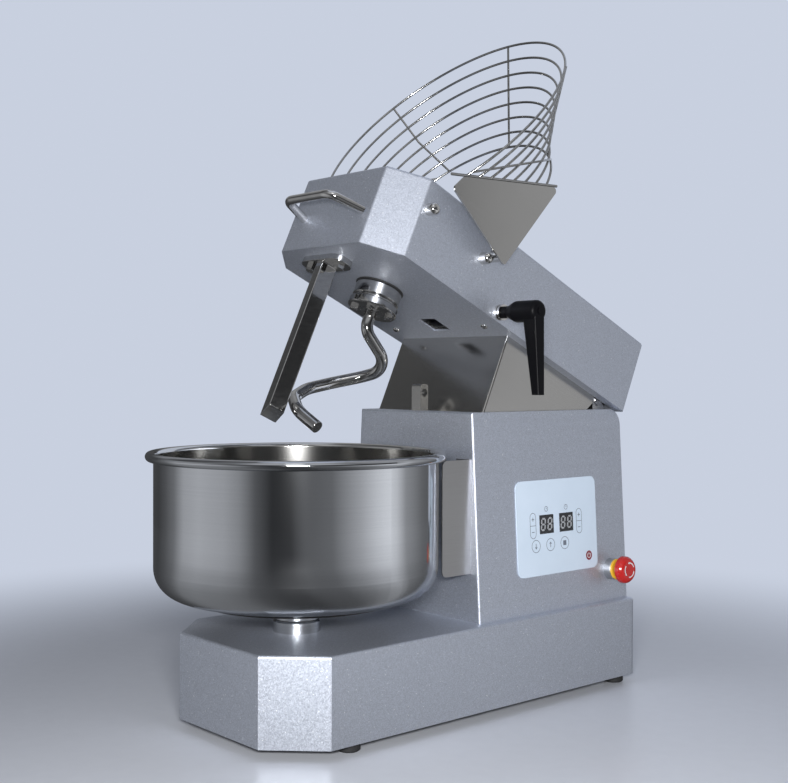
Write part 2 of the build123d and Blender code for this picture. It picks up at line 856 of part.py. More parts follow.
flare_start = lever_hub_start + lever_neck_length
hub_outline = [(0, lever_hub_start), (lever_hub_neck, lever_hub_start), (lever_hub_neck, flare_start)]
hub_outline += [(lever_hub_radius, flare_start + lever_flare)]
hub_outline += [(lever_hub_radius, lever_hub_end), (0, lever_hub_end)]
lever_frame = Plane(origin=lock_spot.origin)
with BuildPart() as clamp_lever:
    add(turned(lock_spot, hub_outline).part)
    hub_rims = clamp_lever.edges().filter_by(GeomType.CIRCLE).group_by(Axis.X)
    fillet(hub_rims[-1], lever_hub_round)
    fillet(clamp_lever.edges().filter_by(GeomType.CIRCLE).group_by(Axis.X)[2], lever_flare_round)
    with BuildSketch(lock_spot.offset(lever_hub_end)):
        Circle(lever_boss_radius)
    extrude(amount=lever_boss_height)
    with BuildSketch(moved(lever_frame, lever_root_out, 0, 0)):
        RectangleRounded(lever_root_width, lever_root_depth, lever_round)
    with BuildSketch(moved(lever_frame, lever_tip_out, 0, -lever_length)):
        RectangleRounded(lever_tip_width, lever_tip_depth, lever_round)
    loft()
    with BuildSketch(lock_spot.offset(lever_hub_start)):
        Circle(clamp_radius + fit)
    extrude(amount=lever_socket, mode=Mode.SUBTRACT)

# Guard plates: stainless cheeks beside the head, each with a welded pivot pin
plate_outline = [(-forward, rise) for forward, rise in plate_points]
with BuildPart() as guard_plates:
    with BuildSketch(across(guard, plate_inner)) as cheek:
        with BuildLine():
            Polyline(*plate_outline, close=True)
        make_face()
        fillet(cheek.vertices(), plate_corner_round)
    extrude(amount=plate_thickness)
    with BuildSketch(across(guard, pivot_pin_start)):
        Circle(pivot_pin_radius)
    extrude(amount=plate_inner + plate_thickness / 2 - pivot_pin_start)
    mirror(about=Plane.YZ)

# Guard grille: bent wires, two edge rods on the cheeks and five ties, welded
plate_low = Vector(*plate_points[2])
plate_high = Vector(*plate_points[3])
edge_way = (plate_high - plate_low).normalized()
edge_out = Vector(edge_way.Y, -edge_way.X)
rod_low = plate_low + edge_out * (rod_wire / 2)
rod_high = plate_high + edge_out * (rod_wire / 2)
rod_x = plate_inner + plate_thickness / 2


def ring_level(number):
    return ring_low + number * ring_step


def ring_apex(number):
    return ring_reach - number * ring_setback


def ring_landing(number):
    return rod_low.X + (ring_level(number) - rod_low.Y) * edge_way.X / edge_way.Y


def tie_point(number, x):
    """Point just outside a ring in the guard's axes, where a tie is welded to it."""
    rise = ring_apex(number) - ring_landing(number)
    radius = (rise**2 + rod_x**2) / (2 * rise)
    depth = (radius**2 - x**2) ** 0.5
    grow = 1 + tie_lift / radius
    return (x * grow, radius - ring_apex(number) - depth * grow, ring_level(number))


def rear_tie_point(number, side):
    """Point just outside a ring where a rear tie is welded to it, each ring a step further forward."""
    rise = ring_apex(number) - ring_landing(number)
    radius = (rise**2 + rod_x**2) / (2 * rise)
    centre = ring_apex(number) - radius
    ahead = rear_tie_reach + number * rear_tie_step - centre
    sideways = (radius**2 - ahead**2) ** 0.5
    grow = 1 + tie_lift / radius
    return (side * sideways * grow, -centre - ahead * grow, ring_level(number))


last_ring = ring_count - 1
middle_ring = last_ring / 2
middle_tie = (side_tie_low + side_tie_high) / 2
tie_places = [(0, 0, 0), (side_tie_low, middle_tie, side_tie_high)]
tie_places.append((-side_tie_low, -middle_tie, -side_tie_high))
with BuildPart() as guard_grille:
    for number in range(ring_count):
        with BuildLine(guard) as ring_line:
            ThreePointArc(
                (-rod_x, -ring_landing(number), ring_level(number)),
                (0, -ring_apex(number), ring_level(number)),
                (rod_x, -ring_landing(number), ring_level(number)),
            )
        ring_path = ring_line.wires()[0]
        with BuildSketch(Plane(origin=ring_path @ 0, z_dir=ring_path % 0)):
            Circle(wire / 2)
        sweep(path=ring_path)
    rod_start = rod_low - edge_way * rod_overrun
    rod_end = rod_high - edge_way * rod_inset
    for side in (-1, 1):
        with BuildLine(guard) as rod_line:
            Line((side * rod_x, -rod_start.X, rod_start.Y), (side * rod_x, -rod_end.X, rod_end.Y))
        rod_path = rod_line.wires()[0]
        with BuildSketch(Plane(origin=rod_path @ 0, z_dir=rod_path % 0)):
            Circle(rod_wire / 2)
        sweep(path=rod_path)
    for low_x, middle_x, high_x in tie_places:
        with BuildLine(guard) as tie_line:
            Polyline(tie_point(0, low_x), tie_point(middle_ring, middle_x), tie_point(last_ring, high_x))
        tie_path = tie_line.wires()[0]
        with BuildSketch(Plane(origin=tie_path @ 0, z_dir=tie_path % 0)):
            Circle(tie_wire / 2)
        sweep(path=tie_path, transition=Transition.RIGHT)
    for side in (-1, 1):
        with BuildLine(guard) as rear_tie_line:
            Polyline(*[rear_tie_point(number, side) for number in range(ring_count)])
        rear_tie_path = rear_tie_line.wires()[0]
        with BuildSketch(Plane(origin=rear_tie_path @ 0, z_dir=rear_tie_path % 0)):
            Circle(tie_wire / 2)
        sweep(path=rear_tie_path, transition=Transition.RIGHT)

# Guard pivot bushes: in the head sides, round the pivot pins
with BuildPart() as guard_pivot_bushes:
    with BuildSketch(across(guard, pivot_bush_start)):
        Circle(pivot_bush_radius)
        Circle(pivot_pin_radius + fit, mode=Mode.SUBTRACT)
    extrude(amount=plate_inner - gap - pivot_bush_start)
    mirror(about=Plane.YZ)

# Guard studs: domed studs on the head sides, under the cheeks
with BuildPart() as guard_studs:
    with BuildSketch(across(head, head_half)):
        with Locations(*[(-reach, rise) for reach, rise in stud_places]):
            Circle(stud_radius)
    extrude(amount=stud_length)
    fillet(guard_studs.faces().group_by(Axis.X)[-1].edges(), stud_round)
    mirror(about=Plane.YZ)

# Breaker bar: flat bar with a chisel end, with a bolted flange
bar_back = -bar_reach + bar_depth / 2
bar_left = bar_shift - bar_width / 2
bar_right = bar_shift + bar_width / 2
with BuildPart() as breaker_bar:
    with BuildSketch(along(head, bar_back)):
        with BuildLine():
            Polyline(
                (bar_left, 0),
                (bar_left, -bar_length),
                (bar_left + bar_tip, -bar_length),
                (bar_right, bar_bevel_tall - bar_length),
                (bar_right, 0),
                close=True,
            )
        make_face()
    extrude(amount=bar_depth)
    bar_edges = breaker_bar.edges().filter_by(Axis((0, 0, 0), head.z_dir))
    fillet(bar_edges, bar_edge)
    with BuildSketch(moved(head, bar_flange_shift, -bar_reach, 0)):
        RectangleRounded(bar_flange_width, bar_flange_depth, 2 * bar_flange_height)
    extrude(amount=-bar_flange_height)

with BuildPart() as breaker_bar_bolts:
    with BuildSketch(moved(head, bar_flange_shift, -bar_reach, -bar_flange_height)):
        with Locations((-bar_bolt_spread, 0), (bar_bolt_spread, 0)):
            RegularPolygon(bolt_flats, 6, major_radius=False)
    extrude(amount=-bolt_head)

# Spiral: shaft, stepped collar with bolts, hook
disc_low = -collar_height - collar_waist_height - collar_disc_height
disc_high = -collar_height - collar_waist_height
with BuildPart() as spiral_shaft:
    with BuildSketch(spiral.offset(disc_low)):
        Circle(spiral_shaft_radius)
    extrude(amount=spiral_shaft_top - disc_low)

collar_bore = spiral_shaft_radius + fit
step_outline = [(collar_bore, -collar_lift), (collar_radius - collar_edge, -collar_lift)]
step_outline += [(collar_radius, -collar_lift - collar_edge), (collar_radius, collar_edge - collar_height)]
step_outline += [(collar_radius - collar_edge, -collar_height), (collar_waist, -collar_height)]
step_outline += [(collar_waist, disc_high), (collar_disc - collar_edge, disc_high)]
step_outline += [(collar_disc, disc_high - collar_edge), (collar_disc, disc_low + collar_edge)]
step_outline += [(collar_disc - collar_edge, disc_low), (collar_bore, disc_low)]
spiral_collar = turned(spiral, step_outline)

with BuildPart() as collar_bolts:
    with BuildSketch(spiral.offset(disc_low)):
        with PolarLocations(collar_bolt_circle, 4, start_angle=45):
            RegularPolygon(collar_bolt_flats, 6, major_radius=False)
    extrude(amount=-collar_bolt_head)

hook_points = [(0, 0, disc_low), (0, 0, -hook_drop)]
hook_corner = hook_radius / cos(radians(hook_sweep / hook_steps / 2))
for step in range(hook_steps + 1):
    done = step / hook_steps
    eased = done - hook_ease * done * (1 - done) * (1 - 2 * done)
    turn = radians(hook_start_angle + hook_sweep * done)
    out = hook_radius if step == hook_steps else hook_corner
    depth = hook_coil_top + hook_coil_height * eased
    hook_points.append((out * cos(turn), -out * sin(turn), -depth))
hook_bends = [hook_neck_bend, hook_shoulder_bend] + [hook_coil_bend] * (hook_steps - 1)
with BuildPart() as spiral_hook:
    with BuildLine(spiral) as hook_line:
        FilletPolyline(*hook_points, radius=hook_bends)
    hook_path = hook_line.wires()[0]
    with BuildSketch(Plane(origin=hook_path @ 0, z_dir=hook_path % 0)):
        Circle(hook_wire / 2)
    sweep(path=hook_path)

# Spiral bearings in their housing on the head floor, pulley above
housing_top = sheet + spiral_housing_height
bearing_room = spiral_bearing_width + sheet
seat = spiral_bearing_radius + fit
housing_outline = [(seat, sheet), (spiral_housing_flange, sheet)]
housing_outline += [(spiral_housing_flange, sheet + flange_thickness)]
housing_outline += [(spiral_housing_radius, sheet + flange_thickness)]
housing_outline += [(spiral_housing_radius, housing_top), (seat, housing_top)]
housing_outline += [(seat, housing_top - bearing_room), (seat - sheet, housing_top - bearing_room)]
housing_outline += [(seat - sheet, sheet + bearing_room), (seat, sheet + bearing_room)]
spiral_bearing_housing = turned(spiral, housing_outline)

with BuildPart() as spiral_bearings:
    for level in (sheet + bearing_room - spiral_bearing_width, housing_top - bearing_room):
        with BuildSketch(spiral.offset(level)):
            Circle(spiral_bearing_radius)
            Circle(spiral_shaft_radius + fit, mode=Mode.SUBTRACT)
        extrude(amount=spiral_bearing_width)

spiral_pulley = pulley(spiral, spiral_pulley_radius, spiral_shaft_radius + fit, spiral_belt_height)

# Spiral gearmotor: hangs under the head floor inside the skirt
drive = moved(head, 0, -spiral_motor_reach, 0)
stub_bore = motor_shaft_radius + fit
with BuildPart() as spiral_gearbox:
    with BuildSketch(drive):
        RectangleRounded(spiral_gearbox_side, spiral_gearbox_side, flange_thickness)
    extrude(amount=-spiral_gearbox_height)
    with BuildSketch(drive):
        Circle(stub_bore)
    extrude(amount=-motor_shaft_length - gap, mode=Mode.SUBTRACT)

motor_top = -spiral_gearbox_height
motor_bottom = motor_top - spiral_motor_length
motor_outline = [(0, motor_top), (spiral_motor_radius, motor_top)]
motor_outline += [(spiral_motor_radius, motor_bottom + spiral_motor_bevel)]
motor_outline += [(spiral_motor_radius - spiral_motor_bevel, motor_bottom), (0, motor_bottom)]
spiral_motor = turned(drive, motor_outline)

stub_top = spiral_belt_height + belt_width / 2 + pulley_lip
with BuildPart() as spiral_motor_pulley:
    add(pulley(drive, spiral_motor_pulley_radius, 0, spiral_belt_height).part)
    with BuildSketch(drive.offset(-motor_shaft_length)):
        Circle(motor_shaft_radius)
    extrude(amount=motor_shaft_length + stub_top)

spiral_belt = belt(
    head,
    -spiral_reach,
    spiral_pulley_radius,
    -spiral_motor_reach,
    spiral_motor_pulley_radius,
    spiral_belt_height,
)

# Bowl: drawn sheet with a rolled rim
bowl_half = Plane(origin=bowl_axis.origin, x_dir=(1, 0, 0), z_dir=(0, -1, 0))
bead_out = rim_radius - rim_bead
bead_up = rim_top - rim_bead
inner_radius = bowl_radius - bowl_wall
with BuildPart() as bowl:
    with BuildSketch(bowl_half):
        with BuildLine():
            FilletPolyline(
                (0, bowl_bottom),
                (bowl_radius, bowl_bottom),
                (bowl_radius, bead_up),
                radius=bowl_corner,
            )
            Line((bowl_radius, bead_up), (inner_radius, bead_up))
            FilletPolyline(
                (inner_radius, bead_up),
                (inner_radius, bowl_bottom + bowl_wall),
                (0, bowl_bottom + bowl_wall),
                radius=bowl_corner - bowl_wall,
            )
            Line((0, bowl_bottom + bowl_wall), (0, bowl_bottom))
        make_face()
        with Locations((bead_out, bead_up)):
            Circle(rim_bead)
    revolve(axis=Axis(bowl_axis.origin, bowl_axis.z_dir))

# Bowl foot ring and hub below the bowl
ring_low_face = bowl_bottom - foot_ring_height
foot_outline = [(hub_flange + fit, ring_low_face), (foot_ring_radius, ring_low_face)]
foot_outline += [(foot_ring_radius, bowl_bottom), (hub_flange + fit, bowl_bottom)]
bowl_foot_ring = turned(bowl_axis, foot_outline)

hub_low = base_top + hub_split + gap
hub_bore = spindle_radius + fit
hub_profile = [(hub_bore, hub_low), (hub_radius - hub_groove, hub_low)]
hub_profile += [(hub_radius, hub_low + hub_groove), (hub_radius, ring_low_face)]
hub_profile += [(hub_flange, ring_low_face), (hub_flange, bowl_bottom), (hub_bore, bowl_bottom)]
bowl_hub = turned(bowl_axis, hub_profile)

# Bowl bearing housing: neck through the base top, flange below it, two bearings
neck_top = base_top + hub_split
underside = base_top - sheet
neck_bore = spindle_radius + loose
bowl_seat = bowl_bearing_radius + fit
upper_seat = underside - flange_thickness
tube_outline = [(neck_bore, neck_top), (bowl_housing_neck - hub_groove, neck_top)]
tube_outline += [(bowl_housing_neck, neck_top - hub_groove), (bowl_housing_neck, underside)]
tube_outline += [(bowl_housing_flange, underside), (bowl_housing_flange, upper_seat)]
tube_outline += [(bowl_housing_radius, upper_seat), (bowl_housing_radius, bowl_housing_bottom)]
tube_outline += [(bowl_seat, bowl_housing_bottom), (bowl_seat, upper_seat), (neck_bore, upper_seat)]
bowl_bearing_housing = turned(bowl_axis, tube_outline)

with BuildPart() as bowl_bearings:
    for level in (bowl_housing_bottom, upper_seat - bowl_bearing_width):
        with BuildSketch(bowl_axis.offset(level)):
            Circle(bowl_bearing_radius)
            Circle(spindle_radius + fit, mode=Mode.SUBTRACT)
        extrude(amount=bowl_bearing_width)

with BuildPart() as bowl_spindle:
    with BuildSketch(bowl_axis.offset(spindle_bottom)):
        Circle(spindle_radius)
    extrude(amount=bowl_bottom - spindle_room - spindle_bottom)

bowl_pulley = pulley(bowl_axis, bowl_pulley_radius, spindle_radius + fit, bowl_belt_height)

# Bowl gearmotor: worm gearbox under the base top, motor lying behind it
bowl_drive = moved(machine, 0, bowl_y + bowl_drive_distance, 0)
gearbox_low = underside - bowl_gearbox_height
with BuildPart() as bowl_gearbox:
    with BuildSketch(bowl_drive.offset(gearbox_low)):
        RectangleRounded(bowl_gearbox_side, bowl_gearbox_side, flange_thickness)
    extrude(amount=bowl_gearbox_height)
    with BuildSketch(bowl_drive.offset(gearbox_low)):
        Circle(stub_bore)
    extrude(amount=motor_shaft_length + gap, mode=Mode.SUBTRACT)

bowl_motor_front = bowl_y + bowl_drive_distance + bowl_gearbox_side / 2
motor_spot = Plane(
    origin=(0, bowl_motor_front, underside - bowl_motor_drop), x_dir=(1, 0, 0), z_dir=(0, 1, 0)
)
lying_outline = [(0, 0), (bowl_motor_radius, 0)]
lying_outline += [(bowl_motor_radius, bowl_motor_length - bowl_motor_bevel)]
lying_outline += [(bowl_motor_radius - bowl_motor_bevel, bowl_motor_length), (0, bowl_motor_length)]
bowl_motor = turned(motor_spot, lying_outline)

stub_low = bowl_belt_height - belt_width / 2 - pulley_lip
with BuildPart() as bowl_motor_pulley:
    add(pulley(bowl_drive, bowl_motor_pulley_radius, 0, bowl_belt_height).part)
    with BuildSketch(bowl_drive.offset(stub_low)):
        Circle(motor_shaft_radius)
    extrude(amount=gearbox_low + motor_shaft_length - stub_low)

bowl_belt = belt(
    machine,
    bowl_y,
    bowl_pulley_radius,
    bowl_y + bowl_drive_distance,
    bowl_motor_pulley_radius,
    bowl_belt_height,
)

# Gas strut: cylinder with a flanged foot on the base, rod with an eye, clevis under the head
strut_y = hinge_y - (strut_reach + hypot(strut_reach, strut_drop)) / 2
eye_height = head.from_local_coords((strut_side, -strut_reach, -strut_drop)).Z
strut_axis = moved(machine, strut_side, strut_y, 0)
strut_seat = base_top + strut_foot_height
tube_top = strut_seat + strut_tube_length
rod_bore = strut_rod_radius + fit
strut_outline = [(0, base_top), (strut_foot_radius, base_top), (strut_foot_radius, strut_seat)]
strut_outline += [(strut_radius, strut_seat), (strut_radius, tube_top), (rod_bore, tube_top)]
strut_outline += [(rod_bore, strut_seat + strut_tube_floor), (0, strut_seat + strut_tube_floor)]
strut_cylinder = turned(strut_axis, strut_outline)

rod_top = eye_height - strut_eye_radius / 2
with BuildPart() as strut_rod:
    with BuildSketch(strut_axis.offset(rod_top - strut_rod_length)):
        Circle(strut_rod_radius)
    extrude(amount=strut_rod_length)
    with BuildSketch(across(machine, strut_side - strut_eye_width / 2)):
        with Locations((strut_y, eye_height)):
            Circle(strut_eye_radius)
    extrude(amount=strut_eye_width)
    with BuildSketch(across(machine, strut_side - strut_eye_width)):
        with Locations((strut_y, eye_height)):
            Circle(strut_pin_radius + strut_play)
    extrude(amount=2 * strut_eye_width, mode=Mode.SUBTRACT)

cheek_in = strut_eye_width / 2 + clevis_slack
clevis_half = cheek_in + clevis_thickness
with BuildPart() as strut_clevis:
    with BuildSketch(moved(head, strut_side, -strut_reach, 0)):
        Rectangle(2 * clevis_half, clevis_length)
    extrude(amount=-clevis_thickness)
    with BuildSketch(moved(head, strut_side, -strut_reach, 0)):
        with Locations((cheek_in + clevis_thickness / 2, 0), (-cheek_in - clevis_thickness / 2, 0)):
            Rectangle(clevis_thickness, clevis_length / 2)
    extrude(amount=-clevis_depth)
    with BuildSketch(across(head, strut_side - clevis_half)):
        with Locations((-strut_reach, -strut_drop)):
            Circle(strut_pin_radius)
    extrude(amount=2 * clevis_half)

pieces = {
    "base_shell": base_shell,
    "base_plate": base_plate,
    "feet": feet,
    "power_gland": power_gland,
    "column_shell": column_shell,
    "rear_cover": rear_cover,
    "rear_cover_screws": rear_cover_screws,
    "hinge_lugs": hinge_lugs,
    "hinge_shaft": hinge_shaft,
    "latch_tongue": latch_tongue,
    "side_shield": side_shield,
    "control_panel": control_panel,
    "display_windows": display_windows,
    "control_board": control_board,
    "estop_collar": estop_collar,
    "estop_ring": estop_ring,
    "estop_mushroom": estop_mushroom,
    "estop_plunger": estop_plunger,
    "estop_contact_block": estop_contact_block,
    "head_shell": head_shell,
    "head_bottom_plate": head_bottom_plate,
    "neck_skirt": neck_skirt,
    "front_handle": front_handle,
    "head_hinge_arms": head_hinge_arms,
    "lock_bracket": lock_bracket,
    "lock_bracket_screws": lock_bracket_screws,
    "clamp_bush": clamp_bush,
    "clamp_screw": clamp_screw,
    "clamp_lever": clamp_lever,
    "guard_plates": guard_plates,
    "guard_grille": guard_grille,
    "guard_pivot_bushes": guard_pivot_bushes,
    "guard_studs": guard_studs,
    "breaker_bar": breaker_bar,
    "breaker_bar_bolts": breaker_bar_bolts,
    "spiral_shaft": spiral_shaft,
    "spiral_collar": spiral_collar,
    "collar_bolts": collar_bolts,
    "spiral_hook": spiral_hook,
    "spiral_bearing_housing": spiral_bearing_housing,
    "spiral_bearings": spiral_bearings,
    "spiral_pulley": spiral_pulley,
    "spiral_gearbox": spiral_gearbox,
    "spiral_motor": spiral_motor,
    "spiral_motor_pulley": spiral_motor_pulley,
    "spiral_belt": spiral_belt,
    "bowl": bowl,
    "bowl_foot_ring": bowl_foot_ring,
    "bowl_hub": bowl_hub,
    "bowl_bearing_housing": bowl_bearing_housing,
    "bowl_bearings": bowl_bearings,
    "bowl_spindle": bowl_spindle,
    "bowl_pulley": bowl_pulley,
    "bowl_gearbox": bowl_gearbox,
    "bowl_motor": bowl_motor,
    "bowl_motor_pulley": bowl_motor_pulley,
    "bowl_belt": bowl_belt,
    "strut_cylinder": strut_cylinder,
    "strut_rod": strut_rod,
    "strut_clevis": strut_clevis,
}

os.makedirs("parts", exist_ok=True)
for name, piece in pieces.items():
    piece.part.label = name
    export_step(piece.part, f"parts/{name}.step")
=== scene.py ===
"""Tilt-head spiral dough mixer: finishes, printed panel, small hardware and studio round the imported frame."""
import json
from math import cos, degrees, pi, radians, sin, tan

import bmesh
import bpy
from mathutils import Matrix, Vector


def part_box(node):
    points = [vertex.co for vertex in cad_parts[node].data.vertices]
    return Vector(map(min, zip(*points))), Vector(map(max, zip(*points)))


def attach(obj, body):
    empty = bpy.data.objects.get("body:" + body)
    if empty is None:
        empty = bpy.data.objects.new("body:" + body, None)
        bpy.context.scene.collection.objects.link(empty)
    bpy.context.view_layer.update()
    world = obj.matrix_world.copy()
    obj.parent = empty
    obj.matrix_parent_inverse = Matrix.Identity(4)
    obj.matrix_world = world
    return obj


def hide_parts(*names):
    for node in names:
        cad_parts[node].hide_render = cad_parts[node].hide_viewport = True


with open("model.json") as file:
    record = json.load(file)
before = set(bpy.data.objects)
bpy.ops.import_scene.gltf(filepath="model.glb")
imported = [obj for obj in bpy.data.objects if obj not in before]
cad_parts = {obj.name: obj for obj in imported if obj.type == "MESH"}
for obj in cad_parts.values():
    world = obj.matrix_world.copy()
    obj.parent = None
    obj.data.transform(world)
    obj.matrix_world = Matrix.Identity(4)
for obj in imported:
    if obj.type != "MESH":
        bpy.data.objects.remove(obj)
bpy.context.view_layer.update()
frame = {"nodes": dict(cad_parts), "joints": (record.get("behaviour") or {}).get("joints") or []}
nodes = frame["nodes"]
joints = {joint["name"]: joint for joint in frame["joints"]}


# Base, column and head housings
# Folded and welded sheet, sprayed with silver metallic paint that shows a fine flake under a thin
# clear coat. The head's floor plate has the same paint.
def place(tree, kind, inputs=None, **settings):
    """Adds a node, with its settings and with values or links on its inputs."""
    made = tree.nodes.new(kind)
    for name, value in settings.items():
        setattr(made, name, value)
    for socket, value in (inputs or {}).items():
        if isinstance(value, bpy.types.NodeSocket):
            tree.links.new(value, made.inputs[socket])
        else:
            made.inputs[socket].default_value = value
    return made


def connect(tree, sockets, links):
    """Links each result to the socket of its name."""
    for name, link in links.items():
        tree.links.new(link, sockets[name])


def effect_group(name, inputs, outputs):
    """Starts a shader node group with named inputs (kind, default) and outputs (kind)."""
    tree = bpy.data.node_groups.new(name, "ShaderNodeTree")
    for socket, (kind, default) in inputs.items():
        made = tree.interface.new_socket(socket, in_out="INPUT", socket_type="NodeSocket" + kind)
        if default is not None:
            made.default_value = default
    for socket, kind in outputs.items():
        tree.interface.new_socket(socket, in_out="OUTPUT", socket_type="NodeSocket" + kind)
    return tree, place(tree, "NodeGroupInput").outputs, place(tree, "NodeGroupOutput").inputs


def use_group(tree, group, **inputs):
    """Places a node group with its own values and returns its outputs."""
    return place(tree, "ShaderNodeGroup", inputs, node_tree=group).outputs


def finish(name, **constants):
    """A material with its Principled shader; constants go on the shader's own sockets."""
    made = bpy.data.materials.new(name)
    made.use_nodes = True
    shader = made.node_tree.nodes["Principled BSDF"]
    for socket, value in constants.items():
        shader.inputs[socket.replace("_", " ")].default_value = value
    return made, made.node_tree, shader.inputs


def object_spot(tree):
    """Place on the surface in the object's own frame, in metres."""
    return place(tree, "ShaderNodeTexCoord").outputs["Object"]


def surface_normal(tree):
    """Direction in which the bare surface faces."""
    return place(tree, "ShaderNodeNewGeometry").outputs["Normal"]


def noise(tree, spot, scale, detail):
    """Soft noise with about the given number of clouds per metre."""
    made = place(tree, "ShaderNodeTexNoise", {"Vector": spot, "Scale": scale, "Detail": detail})
    return made.outputs["Fac"]


def reckon(tree, operation, *values):
    """Result of a sum on numbers or links."""
    return place(tree, "ShaderNodeMath", dict(enumerate(values)), operation=operation).outputs[0]


def reckon_vector(tree, operation, *values):
    """Result of a sum on vectors; a length or a dot product comes back as a number."""
    made = place(tree, "ShaderNodeVectorMath", dict(enumerate(values)), operation=operation)
    return made.outputs["Value" if operation in ("LENGTH", "DOT_PRODUCT") else "Vector"]


def climb(tree, value, start, end, curve="LINEAR"):
    """Nought with the value at the start and one with it at the end, along a straight or smooth curve."""
    run = {"Value": value, "From Min": start, "From Max": end}
    return place(tree, "ShaderNodeMapRange", run, interpolation_type=curve).outputs["Result"]


def between(tree, mask, low, high):
    """A value that runs from low to high with the mask."""
    return place(tree, "ShaderNodeMapRange", {"Value": mask, "To Min": low, "To Max": high}).outputs["Result"]


def tint(tree, mask, first, second):
    """A colour that runs from the first to the second with the mask; each is a plain colour or a link."""
    colours = [(*side, 1) if isinstance(side, tuple) else side for side in (first, second)]
    return place(tree, "ShaderNodeMix", {0: mask, 6: colours[0], 7: colours[1]}, data_type="RGBA").outputs[2]


def coat_with(material, *names):
    """Gives CAD nodes their finish."""
    for name in names:
        nodes[name].data.materials.clear()
        nodes[name].data.materials.append(material)


flake, given, put = effect_group(
    "metal flake",
    {"Grain": ("Float", 700.0), "Tilt": ("Float", 0.2)},
    {"Sparkle": "Float", "Speck": "Float", "Cloud": "Float", "Normal": "Vector"},
)
flake_spot = object_spot(flake)
flake_cells = place(flake, "ShaderNodeTexVoronoi", {"Vector": flake_spot, "Scale": given["Grain"]})
flakes = flake_cells.outputs["Color"]
centred = reckon_vector(flake, "SUBTRACT", flakes, (0.5, 0.5, 0.5))
leaned = place(flake, "ShaderNodeVectorMath", {0: centred, "Scale": given["Tilt"]}, operation="SCALE")
flake_facing = reckon_vector(flake, "ADD", surface_normal(flake), leaned.outputs[0])
flake_draws = place(flake, "ShaderNodeSeparateColor", {0: flakes}).outputs
speck_from, speck_full = 0.9955, 0.9965
connect(
    flake,
    put,
    {
        "Sparkle": flake_draws[0],
        "Speck": climb(flake, flake_draws[1], speck_from, speck_full),
        "Cloud": noise(flake, flake_spot, scale=9.0, detail=4.0),
        "Normal": reckon_vector(flake, "NORMALIZE", flake_facing),
    },
)

paint, paint_tree, paint_shader = finish("silver_paint", Metallic=0.9, Coat_Weight=0.12, Coat_Roughness=0.3)
dark_flake, light_flake, bright_speck = (0.495, 0.528, 0.602), (0.645, 0.685, 0.778), (0.92, 0.94, 0.97)
paint_smooth, paint_rough = 0.48, 0.54
grain = use_group(paint_tree, flake, Grain=1300.0, Tilt=0.10)
sprayed = tint(paint_tree, grain["Sparkle"], dark_flake, light_flake)
connect(
    paint_tree,
    paint_shader,
    {
        "Base Color": tint(paint_tree, grain["Speck"], sprayed, bright_speck),
        "Roughness": between(paint_tree, grain["Cloud"], paint_smooth, paint_rough),
        "Normal": grain["Normal"],
    },
)
coat_with(paint, "base_shell", "column_shell", "head_shell", "head_bottom_plate")

# Base plate, hinge and lock steelwork
# Cut from plate and bar, zinc plated or ground, with fine machining lines. The lugs are welded on the
# column, the arms to the head floor, and the hinge shaft runs through both.
mm = 0.001
brushed, given, put = effect_group(
    "brushed lines",
    {"Vector": ("Vector", None)},
    {"Streak": "Float", "Patch": "Float"},
)
brush_marks = noise(brushed, given["Vector"], scale=1.0, detail=3.0)
worn_patches = noise(brushed, object_spot(brushed), scale=14.0, detail=3.0)
connect(brushed, put, {"Streak": climb(brushed, brush_marks, 0.3, 0.7), "Patch": worn_patches})


def brushed_metal(name, dark, light, smooth, rough, lines, turn=(0, 0, 0), lift=0.02 * mm, edge=0.0):
    """Metal with brush lines, counted per metre along each axis after the turn.

    The lines stand up by the lift, and sharp edges catch the light as if eased by the edge radius.
    """
    made, tree, shader = finish(name, Metallic=1.0)
    turned = place(tree, "ShaderNodeMapping", {"Vector": object_spot(tree), "Rotation": turn}).outputs[0]
    way = place(tree, "ShaderNodeMapping", {"Vector": turned, "Scale": lines}).outputs[0]
    marks = use_group(tree, brushed, Vector=way)
    worn = reckon(tree, "MULTIPLY", marks["Streak"], marks["Patch"])
    bump = place(tree, "ShaderNodeBump", {"Height": marks["Streak"], "Distance": lift, "Strength": 0.5})
    if edge:
        eased = place(tree, "ShaderNodeBevel", {"Radius": edge}, samples=8).outputs[0]
        tree.links.new(eased, bump.inputs["Normal"])
    connect(
        tree,
        shader,
        {
            "Base Color": tint(tree, marks["Streak"], dark, light),
            "Roughness": between(tree, worn, smooth, rough),
            "Normal": bump.outputs[0],
        },
    )
    return made


machined = brushed_metal(
    "machined_steel",
    dark=(0.36, 0.36, 0.37),
    light=(0.56, 0.56, 0.57),
    smooth=0.22,
    rough=0.45,
    lines=(60, 60, 900),
)
coat_with(machined, "base_plate", "hinge_lugs", "hinge_shaft", "head_hinge_arms")
coat_with(machined, "lock_bracket", "clamp_screw")

# Feet and cable gland
# Moulded black rubber and nylon with a faint matt grain. The feet are screwed under the base plate and
# the gland is nutted in the rear wall.
moulded, given, put = effect_group(
    "moulded grain",
    {"Grain": ("Float", 1500.0)},
    {"Grain": "Float", "Bloom": "Float"},
)
moulded_spot = object_spot(moulded)
fine_grain = noise(moulded, moulded_spot, scale=given["Grain"], detail=2.0)
connect(moulded, put, {"Grain": fine_grain, "Bloom": noise(moulded, moulded_spot, scale=40.0, detail=4.0)})


